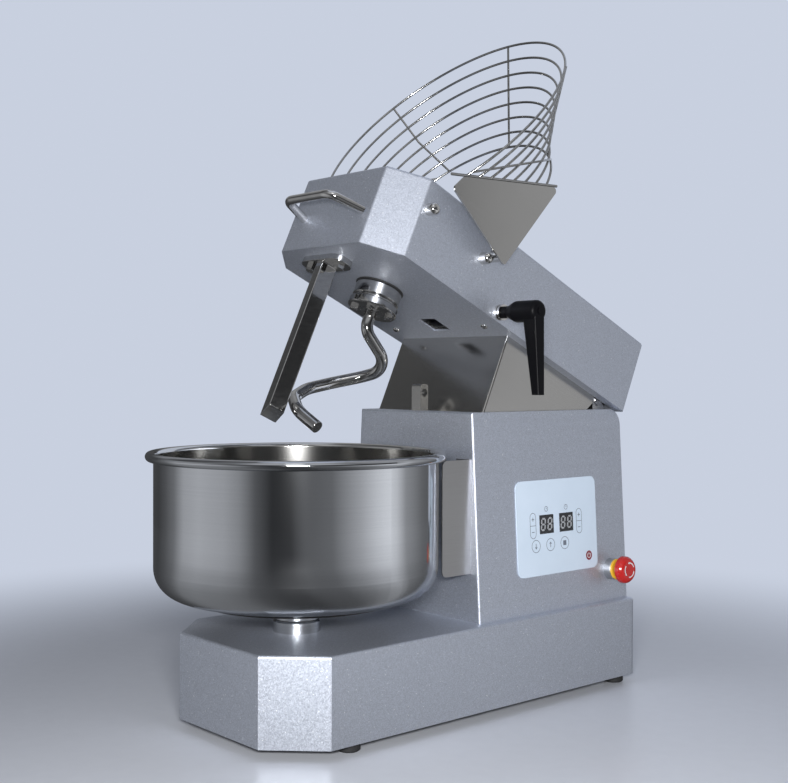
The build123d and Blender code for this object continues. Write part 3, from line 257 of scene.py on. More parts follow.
def moulded_finish(name, dark, light, smooth, rough, grain, lift, **constants):
    """Plastic, rubber, ink or rough casting with a grain of the given lift and a slight bloom."""
    made, tree, shader = finish(name, **constants)
    marks = use_group(tree, moulded, Grain=grain)
    bump = place(tree, "ShaderNodeBump", {"Height": marks["Grain"], "Distance": lift, "Strength": 0.4})
    connect(
        tree,
        shader,
        {
            "Base Color": tint(tree, marks["Bloom"], dark, light),
            "Roughness": between(tree, marks["Bloom"], smooth, rough),
            "Normal": bump.outputs[0],
        },
    )
    return made


rubber = moulded_finish(
    "black_rubber",
    dark=(0.012, 0.012, 0.013),
    light=(0.022, 0.022, 0.023),
    smooth=0.62,
    rough=0.8,
    grain=900.0,
    lift=0.2 * mm,
)
coat_with(rubber, "feet")
nylon = moulded_finish(
    "black_nylon",
    dark=(0.010, 0.010, 0.011),
    light=(0.017, 0.017, 0.019),
    smooth=0.30,
    rough=0.42,
    grain=1400.0,
    lift=0.1 * mm,
)
coat_with(nylon, "power_gland")

# Rear cover and its screws
# Thin brushed stainless plate with five vent slots, which closes the back of the column. Four pan-head
# screws with a cross recess hold it.
sheet_lines = (40, 40, 3200)
sheet_steel = brushed_metal(
    "brushed_sheet",
    dark=(0.47, 0.46, 0.445),
    light=(0.52, 0.51, 0.49),
    smooth=0.22,
    rough=0.30,
    lines=sheet_lines,
    lift=0.006 * mm,
)
coat_with(sheet_steel, "rear_cover")
polished = brushed_metal(
    "polished_steel",
    dark=(0.60, 0.59, 0.575),
    light=(0.72, 0.71, 0.69),
    smooth=0.06,
    rough=0.16,
    lines=(90, 90, 400),
    lift=0.004 * mm,
)
head_steps = 48
head_turns = [2 * pi * step / head_steps for step in range(head_steps)]


def mesh_object(name, mesh, material):
    """Puts a finished mesh into the scene as an object with its finish."""
    data = bpy.data.meshes.new(name)
    mesh.to_mesh(data)
    mesh.free()
    data.materials.append(material)
    made = bpy.data.objects.new(name, data)
    bpy.context.scene.collection.objects.link(made)
    return made


def add_piece(name, mesh, material, body):
    """A new piece that rides on a body and takes its finish from a slot."""
    bmesh.ops.recalc_face_normals(mesh, faces=mesh.faces)
    piece = mesh_object(name, mesh, material)
    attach(piece, body)
    return piece


def moved_to(point, way, level):
    """A point moved along a direction up to a level."""
    return point + way * (level - way.dot(point))


def cross_ring(arm, half, height):
    """Ring of a cross with arms of the given length and half width."""
    leans = [(turn + pi / 4) % (pi / 2) - pi / 4 for turn in head_turns]
    reaches = [arm / cos(lean) if abs(tan(lean)) * arm < half else half / abs(sin(lean)) for lean in leans]
    return [(reach * mm, height * mm) for reach in reaches]


def round_rings(profile):
    """Rings of a round head, from a profile of (radius, height) points in millimetres."""
    return [[(radius * mm, height * mm)] * head_steps for radius, height in profile]


def heads(name, apart):
    """Points of a CAD node, sorted into heads that stand further apart than the given distance."""
    found = []
    for vertex in nodes[name].data.vertices:
        near = [group for group in found if (group[0] - vertex.co).length < apart]
        if near:
            near[0].append(vertex.co.copy())
        else:
            found.append([vertex.co.copy()])
    return found


def fastener_heads(piece_name, node_name, out, apart, rings, body):
    """Polished heads from rings of (distance, height), which take the place of a CAD node's plain heads."""
    mesh = bmesh.new()
    across = out.orthogonal().normalized()
    along = out.cross(across)
    for points in heads(node_name, apart):
        seat = min(out.dot(point) for point in points)
        centre = moved_to(sum(points, Vector()) / len(points), out, seat)
        made = []
        for ring in rings:
            row = []
            for turn, (reach, height) in zip(head_turns, ring):
                spoke = across * cos(turn) + along * sin(turn)
                row.append(mesh.verts.new(centre + spoke * reach + out * height))
            made.append(row)
        for low, high in zip(made, made[1:]):
            for step in range(head_steps):
                after = (step + 1) % head_steps
                mesh.faces.new((low[step], low[after], high[after], high[step]))
        mesh.faces.new(made[0][::-1])
        mesh.faces.new(made[-1])
    piece = add_piece(piece_name, mesh, polished, body)
    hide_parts(node_name)


rearward = Vector((0, 1, 0))
pan_rings = round_rings([(4.0, 0), (4.0, 1.0), (3.6, 1.8), (2.9, 2.3), (2.3, 2.5)])
pan_rings += [cross_ring(1.9, 0.45, 2.5), cross_ring(1.4, 0.3, 1.1)]
fastener_heads("cover_screw_heads", "rear_cover_screws", rearward, 12 * mm, pan_rings, "base")

# Latch tongue and side shield
# Bright stainless. The tongue is a drilled block welded on the front of the column top, and the shield is
# a plate with rounded corners fixed to the front of the column beside the bowl.
coat_with(sheet_steel, "latch_tongue")
shield_steel = brushed_metal(
    "shield_sheet",
    dark=(0.36, 0.355, 0.355),
    light=(0.39, 0.385, 0.385),
    smooth=0.32,
    rough=0.38,
    lines=sheet_lines,
    lift=0.004 * mm,
)
coat_with(shield_steel, "side_shield")

# Control panel and displays
# Printed film glued on the right face of the column, with key outlines and two smoked windows for
# two-digit displays behind it.
film = moulded_finish(
    "panel_film",
    dark=(0.55, 0.64, 0.735),
    light=(0.605, 0.695, 0.79),
    smooth=0.32,
    rough=0.42,
    grain=700.0,
    lift=0.04 * mm,
    Coat_Weight=0.2,
)
coat_with(film, "control_panel")
smoked = moulded_finish(
    "smoked_window",
    dark=(0.010, 0.011, 0.013),
    light=(0.018, 0.019, 0.022),
    smooth=0.10,
    rough=0.2,
    grain=300.0,
    lift=0.01 * mm,
)
coat_with(smoked, "display_windows")
outward = Vector(joints["stop_twist"]["axis"])
upward = outward.cross(rearward)


def middle(name):
    """Middle of a CAD node's box."""
    low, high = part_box(name)
    return (low + high) / 2


def top_along(name, way):
    """How far a CAD node reaches along a direction."""
    return max(way.dot(vertex.co) for vertex in nodes[name].data.vertices)


def flat_frame(origin, right, up):
    """Matrix whose x and y lie in a face and whose z stands out of it."""
    made = Matrix((right, up, right.cross(up))).transposed().to_4x4()
    made.translation = origin
    return made


print_film = 0.05 * mm


def printed(name, outlines, spot, body, material):
    """Film of print on a face, from closed outlines of (x, y) points in metres."""
    mesh = bmesh.new()
    for outline in outlines:
        low = [mesh.verts.new(spot @ Vector((x, y, 0))) for x, y in outline]
        high = [mesh.verts.new(spot @ Vector((x, y, print_film))) for x, y in outline]
        mesh.faces.new(high)
        mesh.faces.new(low[::-1])
        for start in range(len(outline)):
            end = (start + 1) % len(outline)
            mesh.faces.new((low[start], low[end], high[end], high[start]))
    add_piece(name, mesh, material, body)


def ribbon(points, width, closed=False):
    """Quads of one width along a run of points."""
    last = len(points) - 1
    corners = []
    for number, point in enumerate(points):
        before = points[number - 1] if number or closed else point
        after = points[(number + 1) % len(points)] if number < last or closed else point
        way = (Vector(after) - Vector(before)).normalized()
        side = Vector((-way.y, way.x)) * width / 2
        corners.append((tuple(Vector(point) + side), tuple(Vector(point) - side)))
    quads = []
    for number in range(len(points) if closed else last):
        (left, right), (next_left, next_right) = corners[number], corners[(number + 1) % len(points)]
        quads.append([left, right, next_right, next_left])
    return quads


def arc(x, y, radius, start=0.0, end=360.0, steps=32):
    """Points on an arc, in degrees; a full circle leaves out its last point."""
    turns = [radians(start + (end - start) * step / steps) for step in range(steps + 1)]
    if abs(end - start) >= 360:
        turns = turns[:-1]
    return [(x + radius * cos(turn), y + radius * sin(turn)) for turn in turns]


def pill(x, y, width, tall):
    """Points round an upright pill."""
    radius = width / 2
    rise = tall / 2 - radius
    return arc(x, y + rise, radius, 0, 180, steps=12) + arc(x, y - rise, radius, 180, 360, steps=12)


panel_face = top_along("control_panel", outward)
panel_spot = flat_frame(moved_to(middle("control_panel"), outward, panel_face), rearward, upward)
key_line, sign_line, sign = 0.6 * mm, 0.85 * mm, 2.0 * mm
panel_marks = []

pill_width, pill_tall, pill_rise = 9 * mm, 27 * mm, 2.8 * mm
for key_x in (-39.8 * mm, 35.7 * mm):
    panel_marks += ribbon(pill(key_x, pill_rise, pill_width, pill_tall), key_line, closed=True)
    left, right = key_x - pill_width / 2, key_x + pill_width / 2
    panel_marks += ribbon([(left, pill_rise), (right, pill_rise)], key_line)
    plus_rise, minus_rise = pill_rise + pill_tall / 4, pill_rise - pill_tall / 4
    for sign_rise in (plus_rise, minus_rise):
        panel_marks += ribbon([(key_x - sign, sign_rise), (key_x + sign, sign_rise)], sign_line)
    panel_marks += ribbon([(key_x, plus_rise - sign), (key_x, plus_rise + sign)], sign_line)

down_x, up_x, square_x = -36.1 * mm, -12.8 * mm, 10.5 * mm
key_radius, key_rise = 6.6 * mm, -19.2 * mm
for key_x in (down_x, up_x, square_x):
    panel_marks += ribbon(arc(key_x, key_rise, key_radius), key_line, closed=True)
shaft_half, barb_half = 1.4 * sign, 0.8 * sign
for key_x, way in ((down_x, -1), (up_x, 1)):
    panel_marks += ribbon([(key_x, key_rise - shaft_half), (key_x, key_rise + shaft_half)], sign_line)
    tip = key_rise + way * shaft_half
    barb = tip - way * sign
    panel_marks += ribbon([(key_x - barb_half, barb), (key_x, tip), (key_x + barb_half, barb)], sign_line)
square_half = 1.3 * sign
square_turns = ((-1, -1), (1, -1), (1, 1), (-1, 1))
panel_marks.append([(square_x + x * square_half, key_rise + y * square_half) for x, y in square_turns])

window_places = (-18.0 * mm, 14.3 * mm)
clock_rise, clock_radius = 19.5 * mm, 2.6 * mm
for clock_x in window_places:
    panel_marks += ribbon(arc(clock_x, clock_rise, clock_radius), key_line, closed=True)
    long_hand, short_hand = clock_rise + clock_radius * 0.6, clock_x + clock_radius * 0.5
    panel_marks += ribbon([(clock_x, long_hand), (clock_x, clock_rise), (short_hand, clock_rise)], key_line)

print_grain, print_lift = 800.0, 0.01 * mm
grey_ink = moulded_finish(
    "grey_ink",
    dark=(0.11, 0.13, 0.16),
    light=(0.16, 0.18, 0.22),
    smooth=0.4,
    rough=0.5,
    grain=print_grain,
    lift=print_lift,
)
printed("panel_print", panel_marks, panel_spot, "base", grey_ink)

power_x, power_rise, power_radius = 50.7 * mm, -36.6 * mm, 5.2 * mm
power_key = [arc(power_x, power_rise, power_radius)]
red_ink = moulded_finish(
    "red_ink",
    dark=(0.17, 0.012, 0.03),
    light=(0.22, 0.02, 0.04),
    smooth=0.3,
    rough=0.4,
    grain=print_grain,
    lift=print_lift,
)
printed("power_key_print", power_key, panel_spot, "base", red_ink)
switch_radius, switch_from, switch_to = 2.6 * mm, 125, 415
stroke_low, stroke_high = power_rise + 0.6 * mm, power_rise + 3.2 * mm
power_sign = ribbon(arc(power_x, power_rise, switch_radius, switch_from, switch_to, steps=20), sign_line)
power_sign += ribbon([(power_x, stroke_low), (power_x, stroke_high)], sign_line)
pale_ink = moulded_finish(
    "pale_ink",
    dark=(0.62, 0.62, 0.62),
    light=(0.70, 0.70, 0.70),
    smooth=0.35,
    rough=0.45,
    grain=print_grain,
    lift=print_lift,
)
power_spot = panel_spot @ Matrix.Translation((0, 0, print_film))
printed("power_key_sign", power_sign, power_spot, "base", pale_ink)

digit_tall, digit_wide, digit_pitch = 14.0 * mm, 7.6 * mm, 10.6 * mm
bar, notch, slant = 1.9 * mm, 0.35 * mm, tan(radians(6))
window_rise = 3.2 * mm


def segment(x0, y0, x1, y1):
    """One pointed bar of a seven-segment digit, between two corners of the digit."""
    way = (Vector((x1, y1)) - Vector((x0, y0))).normalized()
    side = Vector((-way.y, way.x)) * bar / 2
    start = Vector((x0, y0)) + way * notch
    end = Vector((x1, y1)) - way * notch
    tips = [start, start + way * bar / 2 + side, end - way * bar / 2 + side]
    tips += [end, end - way * bar / 2 - side, start + way * bar / 2 - side]
    return [tuple(tip) for tip in tips]


right, high = digit_wide / 2 - bar / 2, digit_tall / 2 - bar / 2
left, low = -right, -high
digit_bars = [(left, low, right, low), (left, 0, right, 0), (left, high, right, high)]
digit_bars += [(left, low, left, 0), (left, 0, left, high), (right, low, right, 0), (right, 0, right, high)]
digits = []
for window_x in window_places:
    for digit_x in (window_x - digit_pitch / 2, window_x + digit_pitch / 2):
        for ends in digit_bars:
            digits.append([(digit_x + x + y * slant, window_rise + y) for x, y in segment(*ends)])
unlit = moulded_finish(
    "unlit_segments",
    dark=(0.30, 0.31, 0.32),
    light=(0.38, 0.39, 0.40),
    smooth=0.35,
    rough=0.5,
    grain=900.0,
    lift=print_lift,
)
printed("display_digits", digits, panel_spot, "base", unlit)

# Control board
# Green circuit board with three relays, on four posts behind the panel. It is inside the column and
# shows only when the rear cover is off.
board_green = moulded_finish(
    "solder_mask",
    dark=(0.012, 0.10, 0.04),
    light=(0.02, 0.16, 0.07),
    smooth=0.25,
    rough=0.4,
    grain=500.0,
    lift=0.05 * mm,
)
coat_with(board_green, "control_board")

# Emergency stop
# Red moulded mushroom with pale turning arrows, a yellow ring and a turned collar screwed through the
# column wall. The mushroom rides on its plunger, which works the contact block inside.
red_cap = moulded_finish(
    "red_moulding",
    dark=(0.42, 0.010, 0.009),
    light=(0.50, 0.016, 0.013),
    smooth=0.16,
    rough=0.26,
    grain=900.0,
    lift=0.03 * mm,
    Coat_Weight=0.2,
)
coat_with(red_cap, "estop_mushroom")
coat_with(nylon, "estop_plunger", "estop_contact_block")
yellow = moulded_finish(
    "yellow_moulding",
    dark=(0.75, 0.42, 0.02),
    light=(0.82, 0.50, 0.04),
    smooth=0.3,
    rough=0.4,
    grain=900.0,
    lift=0.03 * mm,
)
satin_alloy = brushed_metal(
    "satin_alloy",
    dark=(0.44, 0.45, 0.46),
    light=(0.52, 0.53, 0.54),
    smooth=0.40,
    rough=0.50,
    lines=(30, 30, 900),
)
turned_steps = 96
sharp_edge = radians(30)


def turned_piece(name, outline, foot, way, body, material):
    """A ring turned about an axis from a closed outline of (distance, height) points over its foot."""
    across = way.orthogonal().normalized()
    along = way.cross(across)
    mesh = bmesh.new()
    rows = []
    for step in range(turned_steps):
        angle = 2 * pi * step / turned_steps
        spoke = across * cos(angle) + along * sin(angle)
        rows.append([mesh.verts.new(foot + spoke * reach + way * height) for reach, height in outline])
    for first, second in zip(rows, rows[1:] + rows[:1]):
        for low in range(len(outline)):
            high = (low + 1) % len(outline)
            mesh.faces.new((first[low], second[low], second[high], first[high]))
    piece = add_piece(name, mesh, material, body)
    piece.data.shade_smooth()
    piece.data.set_sharp_from_angle(angle=sharp_edge)
    return piece


def bevelled_ring(bore, radius, low, high, edge):
    """Outline of a ring with a bevelled outer top edge."""
    return [(bore, low), (radius, low), (radius, high - edge), (radius - edge, high), (bore, high)]


stop_middle = Vector(joints["stop_twist"]["pos_m"])
collar_top, ring_top = 9.1 * mm, 11.5 * mm
stop_foot = moved_to(stop_middle, outward, top_along("estop_ring", outward) - ring_top)
collar_outline = bevelled_ring(bore=5.05 * mm, radius=11.8 * mm, low=0, high=collar_top, edge=0.7 * mm)
stop_collar = turned_piece(
    "stop_collar", collar_outline, stop_foot, outward, "base", satin_alloy
)
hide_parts("estop_collar")
ring_outline = bevelled_ring(bore=6.0 * mm, radius=11.4 * mm, low=collar_top, high=ring_top, edge=0.3 * mm)
stop_ring = turned_piece("stop_ring", ring_outline, stop_foot, outward, "base", yellow)
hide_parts("estop_ring")

cap_face = top_along("estop_mushroom", outward)
cap_spot = flat_frame(moved_to(stop_middle, outward, cap_face), rearward, upward)
arrow_radius, arrow_line, arrow_head, arrow_sweep = 7.9 * mm, 1.3 * mm, 2.6 * mm, 70
inner, outer = arrow_radius - arrow_head / 2, arrow_radius + arrow_head / 2
arrows = []
for start in (20, 140, 260):
    end = start + arrow_sweep
    arrows += ribbon(arc(0, 0, arrow_radius, start, end, steps=10), arrow_line)
    tail, tip = radians(end), radians(end + degrees(arrow_head / arrow_radius))
    corners = ((inner, tail), (outer, tail), (arrow_radius, tip))
    arrows.append([(reach * cos(turn), reach * sin(turn)) for reach, turn in corners])
printed("stop_arrows", arrows, cap_spot, "stop_mushroom", pale_ink)

# Gas strut
# Black cylinder that stands in the column and a ground rod that carries the head's weight. The rod's eye
# turns on a clevis fixed to the head.
coat_with(nylon, "strut_cylinder")
coat_with(machined, "strut_rod", "strut_clevis")

# Neck skirt
# Folded stainless shroud under the head, brushed across. It is fixed to the head's floor and hides the
# motor as it dips into the column.
tilt = radians(joints["head_tilt"]["range_deg"][1])
skirt_steel = brushed_metal(
    "skirt_sheet",
    dark=(0.48, 0.47, 0.45),
    light=(0.53, 0.52, 0.50),
    smooth=0.17,
    rough=0.31,
    lines=sheet_lines,
    turn=(tilt, 0, 0),
    lift=0.006 * mm,
)
coat_with(skirt_steel, "neck_skirt")

# Lock bracket screws
# Steel button heads with a hexagon socket, on each side of the latch slot. They hold the lock bracket from
# below, through the head's floor.
under_head = Vector((0, -sin(tilt), -cos(tilt)))


def hexagon(half):
    """Distances of a hexagon's outline from its middle, half being half its width over flats."""
    return [half / cos((turn + pi / 6) % (pi / 3) - pi / 6) for turn in head_turns]


button_rings = round_rings([(4.0, 0), (3.9, 0.7), (3.5, 1.5), (2.8, 2.1), (2.0, 2.45)])
for socket_half, socket_height in ((1.4, 2.5), (1.3, 0.9)):
    button_rings.append([(reach * mm, socket_height * mm) for reach in hexagon(socket_half)])
fastener_heads("lock_screw_heads", "lock_bracket_screws", under_head, 20 * mm, button_rings, "head")

# Front handle
# Polished stainless rod, bent twice and welded to the front of the head. The head is pulled down and lifted
# by it.
bright_rod = brushed_metal(
    "bright_rod",
    dark=(0.62, 0.61, 0.60),
    light=(0.72, 0.71, 0.70),
    smooth=0.03,
    rough=0.07,
    lines=(90, 90, 300),
    lift=0.002 * mm,
)
coat_with(bright_rod, "front_handle")

# Clamp lever
# Black nylon hand lever on the clamp screw, turned to draw the latch tongue tight. A polished bush carries
# the screw through the side of the head.
lever_nylon = moulded_finish(
    "lever_nylon",
    dark=(0.003, 0.003, 0.004),
    light=(0.005, 0.005, 0.006),
    smooth=0.36,
    rough=0.44,
    grain=1600.0,
    lift=0.04 * mm,
    Specular_IOR_Level=0.08,
)
coat_with(lever_nylon, "clamp_lever")
coat_with(polished, "clamp_bush")

# Guard
# Two brushed stainless cheeks with welded pivot pins carry a grille of bright drawn wire, spot welded at
# each crossing. The cheeks turn in bushes on the head and snap over two domed studs.
coat_with(skirt_steel, "guard_plates")
wire_steel = brushed_metal(
    "bright_wire",
    dark=(0.36, 0.36, 0.355),
    light=(0.47, 0.465, 0.455),
    smooth=0.16,
    rough=0.26,
    lines=(200, 200, 200),
    lift=0.004 * mm,
)
coat_with(wire_steel, "guard_grille")
coat_with(polished, "guard_studs", "guard_pivot_bushes")

# Breaker bar and spiral
# Ground and polished stainless: the flat bar is welded to a flange bolted under the head, and the hook is a
# bent round rod welded in the disc of the stepped collar. A black seal closes the gap over the collar.
# Its colour is set darker than the polished steel's: painted shade, which stands in for the dark surroundings
# that the bar, the collar and the hook mirror below the head.
ground_steel = brushed_metal(
    "ground_steel",
    dark=(0.46, 0.455, 0.45),
    light=(0.55, 0.545, 0.535),
    smooth=0.05,
    rough=0.11,
    lines=(90, 90, 400),
    lift=0.003 * mm,
    edge=1.5 * mm,
)
coat_with(ground_steel, "breaker_bar", "spiral_collar", "spiral_hook")
corner_start, corner_fall, crown_share, crown_dip = 0.94, 0.58, 0.6, 0.2


def hex_head(half, height):
    """Rings of a hexagon head whose top corners are turned off, in millimetres."""
    flat = corner_start * half
    sides = hexagon(half)
    foot = [(reach * mm, 0) for reach in sides]
    turned_off = [(reach * mm, (height - max(0, reach - flat) * corner_fall) * mm) for reach in sides]
    return [foot, turned_off] + round_rings([(flat, height), (crown_share * half, height - crown_dip)])


bar_heads, collar_heads = hex_head(half=5.5, height=5.0), hex_head(half=4.0, height=3.5)
fastener_heads("bar_bolt_heads", "breaker_bar_bolts", under_head, 20 * mm, bar_heads, "head")
fastener_heads("collar_bolt_heads", "collar_bolts", under_head, 14 * mm, collar_heads, "spiral")
seal_profile = [(14.0, 1.45), (14.0, 0.0), (25.4, 0.0), (25.9, 0.35), (25.6, 1.2), (24.6, 1.45)]
seal_outline = [(reach * mm, depth * mm) for reach, depth in seal_profile]
head_floor = top_along("head_bottom_plate", under_head)
seal_middle = moved_to(Vector(joints["spiral_spin"]["pos_m"]), under_head, head_floor)
turned_piece("collar_seal", seal_outline, seal_middle, under_head, "head", rubber)

# Drives inside the head and the base
# Cast gear housings and motors with turned pulleys and rubber belts. The shafts run in ball bearings and
# are ground steel.
cast = moulded_finish(
    "cast_alloy",
    dark=(0.38, 0.385, 0.39),
    light=(0.48, 0.485, 0.49),
    smooth=0.45,
    rough=0.6,
    grain=600.0,
    lift=0.2 * mm,
    Metallic=1.0,
)
coat_with(cast, "spiral_bearing_housing", "spiral_gearbox", "spiral_motor", "bowl_gearbox", "bowl_motor")
turned_alloy = brushed_metal(
    "turned_alloy",
    dark=(0.62, 0.63, 0.64),
    light=(0.76, 0.77, 0.78),
    smooth=0.16,
    rough=0.34,
    lines=(30, 30, 1200),
)
coat_with(turned_alloy, "spiral_pulley", "spiral_motor_pulley", "bowl_pulley", "bowl_motor_pulley")
coat_with(machined, "spiral_shaft", "spiral_bearings", "bowl_spindle", "bowl_bearings")
coat_with(rubber, "spiral_belt", "bowl_belt")

# Bowl and its hub
# Spun stainless bowl with a rolled rim, brushed round outside. It stands on a turned alloy hub with a
# black ring, over the fixed neck of the bearing housing.
bowl_steel, bowl_tree, bowl_shader = finish(
    "bowl_steel", Metallic=1.0, Anisotropic=0.4, Anisotropic_Rotation=0.25
)
bowl_axis = Vector(joints["bowl_spin"]["pos_m"])
bowl_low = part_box("bowl")[0].z


def blend(tree, mask, first, second):
    """A value that runs from the first to the second with the mask; each is a number or a link."""
    return place(tree, "ShaderNodeMix", {0: mask, 2: first, 3: second}).outputs[0]


bowl_spot = object_spot(bowl_tree)
from_axis = reckon_vector(bowl_tree, "SUBTRACT", bowl_spot, (bowl_axis.x, bowl_axis.y, 0))
bowl_spoke = reckon_vector(bowl_tree, "MULTIPLY", from_axis, (1, 1, 0))
faces_out = reckon_vector(bowl_tree, "DOT_PRODUCT", surface_normal(bowl_tree), bowl_spoke)
inside = reckon(bowl_tree, "LESS_THAN", faces_out, 0.0)
outside = reckon(bowl_tree, "GREATER_THAN", faces_out, 0.0)
spun_lines = (9, 9, 1600)
spun_way = place(bowl_tree, "ShaderNodeMapping", {"Vector": bowl_spot, "Scale": spun_lines}).outputs[0]
spun = use_group(bowl_tree, brushed, Vector=spun_way)
# The inside is given a lighter, warmer steel than the outside: painted light, which stands in for the light
# that bounces round inside the bowl.
wall_dark, wall_light, inner_colour_with_painted_light = (0.575, 0.59, 0.615), (0.605, 0.62, 0.645), (0.67, 0.665, 0.65)
wall_colour = tint(bowl_tree, spun["Streak"], wall_dark, wall_light)

bowl_height = place(bowl_tree, "ShaderNodeSeparateXYZ", {0: bowl_spot}).outputs["Z"]
curve_low, curve_high = bowl_low + 10 * mm, bowl_low + 60 * mm
wall_smooth, wall_worn, curve_rough = 0.065, 0.085, 0.2
inner_smooth, inner_worn = 0.10, 0.15
low_down = climb(bowl_tree, bowl_height, curve_high, curve_low)
upper_rough = between(bowl_tree, spun["Patch"], wall_smooth, wall_worn)
wall_rough = blend(bowl_tree, low_down, upper_rough, curve_rough)
inner_rough = between(bowl_tree, spun["Patch"], inner_smooth, inner_worn)
bend_low, bend_high, bend_depth = bowl_low + 14 * mm, bowl_low + 48 * mm, 1.2 * mm
bend = climb(bowl_tree, bowl_height, bend_low, bend_high, "SMOOTHERSTEP")
bend_ease = {"Height": reckon(bowl_tree, "MULTIPLY", outside, bend), "Distance": bend_depth, "Strength": 1.0}
eased_bend = place(bowl_tree, "ShaderNodeBump", bend_ease).outputs[0]
round_axis = place(bowl_tree, "ShaderNodeTangent", direction_type="RADIAL", axis="Z").outputs[0]
connect(
    bowl_tree,
    bowl_shader,
    {
        "Base Color": tint(bowl_tree, inside, wall_colour, inner_colour_with_painted_light),
        "Roughness": blend(bowl_tree, inside, wall_rough, inner_rough),
        "Normal": eased_bend,
        "Tangent": round_axis,
    },
)
coat_with(bowl_steel, "bowl")
coat_with(nylon, "bowl_foot_ring")
coat_with(turned_alloy, "bowl_hub", "bowl_bearing_housing")

# Studio
# Pale floor that fades into a pale backdrop, one lamp just over the camera and a soft panel above it. A dark
# room with two lighter sides stands round the object for reflections only, so that the metal shows bands.
backdrop = (0.58, 0.63, 0.74, 1)
fill_colour, fill_strength = (0.80, 0.86, 1.0, 1), 0.26
world = bpy.data.worlds.new("studio")
bpy.context.scene.world = world
world.use_nodes = True
air = world.node_tree
rays = place(air, "ShaderNodeLightPath").outputs
looking = reckon(air, "MAXIMUM", rays["Is Camera Ray"], rays["Is Glossy Ray"])
looking = reckon(air, "MAXIMUM", looking, rays["Is Transmission Ray"])
fill_light = place(air, "ShaderNodeBackground", {"Color": fill_colour, "Strength": fill_strength}).outputs[0]
wall = place(air, "ShaderNodeBackground", {"Color": backdrop, "Strength": 1.0}).outputs[0]
shown = place(air, "ShaderNodeMixShader", {0: looking, 1: fill_light, 2: wall}).outputs[0]
air.links.new(shown, air.nodes["World Output"].inputs["Surface"])

floor_radius, fade_start, fade_end = 6.0, 0.40, 1.1
floor_finish, floor_tree, floor_shader = finish("floor_finish", Roughness=0.35)
floor_spot = object_spot(floor_tree)
floor_dark, floor_light = (0.64, 0.66, 0.71), (0.68, 0.70, 0.75)
speckle = noise(floor_tree, floor_spot, scale=60.0, detail=2.0)
connect(floor_tree, floor_shader, {"Base Color": tint(floor_tree, speckle, floor_dark, floor_light)})
floor_reach = reckon_vector(floor_tree, "LENGTH", floor_spot)
fade = climb(floor_tree, floor_reach, fade_start, fade_end, "SMOOTHSTEP")
near = floor_tree.nodes["Principled BSDF"].outputs[0]
far = place(floor_tree, "ShaderNodeEmission", {"Color": backdrop}).outputs[0]
faded = place(floor_tree, "ShaderNodeMixShader", {0: fade, 1: near, 2: far}).outputs[0]
floor_tree.links.new(faded, floor_tree.nodes["Material Output"].inputs["Surface"])
floor_mesh = bmesh.new()
bmesh.ops.create_circle(floor_mesh, cap_ends=True, radius=floor_radius, segments=96)
floor = mesh_object("floor", floor_mesh, floor_finish)
floor.visible_glossy = False


def round_object(turn, distance, height):
    """A point at an angle round the object from the front, in degrees towards the panel side."""
    return Vector((distance * sin(radians(turn)), -distance * cos(radians(turn)), height))


def panel_light(name, turn, distance, height, wide, tall, power, aim):
    """Soft oval lamp that looks at a height on the object's axis."""
    lamp = bpy.data.lights.new(name, "AREA")
    lamp.shape = "ELLIPSE"
    lamp.size = wide
    lamp.size_y = tall
    lamp.energy = power
    made = bpy.data.objects.new(name, lamp)
    made.location = round_object(turn, distance, height)
    made.rotation_euler = (Vector((0, 0, aim)) - made.location).to_track_quat("-Z", "Y").to_euler()
    made.visible_camera = False
    bpy.context.scene.collection.objects.link(made)


panel_light("camera_lamp", turn=47.7, distance=1.25, height=0.42, wide=0.30, tall=0.09, power=17.0, aim=0.3)
panel_light("top_panel", turn=47, distance=1.7, height=2.1, wide=0.55, tall=0.55, power=1.2, aim=0.3)

ground_tones = [(-140, 0.03), (-60, 0.03), (-10, 0.05), (20, 0.06), (70, 0.06), (120, 0.04), (175, 0.04)]
low_tones = [(-140, 0.05), (-82, 0.05), (-68, 0.10), (-54, 0.20), (-42, 0.46), (-26, 0.54), (-4, 0.46)]
low_tones += [(8, 0.34), (20, 0.12), (32, 0.03), (46, 0.03), (56, 0.12), (76, 0.18), (99, 0.50), (113, 0.76)]
low_tones += [(127, 0.95), (144, 0.36), (167, 0.17), (175, 0.14)]
high_tones = [(-140, 0.05), (-70, 0.06), (-44, 0.32), (-20, 0.32), (5, 0.10), (42, 0.04), (90, 0.04)]
high_tones += [(112, 0.03), (127, 0.03), (134, 0.44), (140, 0.56), (150, 0.38), (175, 0.24)]
ceiling_tones = [(-140, 0.20), (-122, 0.40), (-96, 0.26), (-76, 0.22), (-58, 0.04), (-30, 0.12), (0, 0.20)]
ceiling_tones += [(20, 0.46), (75, 0.46), (100, 0.20), (130, 0.40), (175, 0.30)]


cool_grey = (1.0, 1.02, 1.06)


def tone_ramp(tree, share, tones):
    """Cool grey that changes round the room; tones are (angle in degrees, level)."""
    ramp = place(tree, "ShaderNodeValToRGB", {0: share})
    steps = ramp.color_ramp.elements
    for turn, _ in tones[1:-1]:
        steps.new((turn + 180) / 360)
    for step, (turn, level) in zip(steps, tones):
        step.position = (turn + 180) / 360
        step.color = (*(level * part for part in cool_grey), 1)
    return ramp.outputs["Color"]


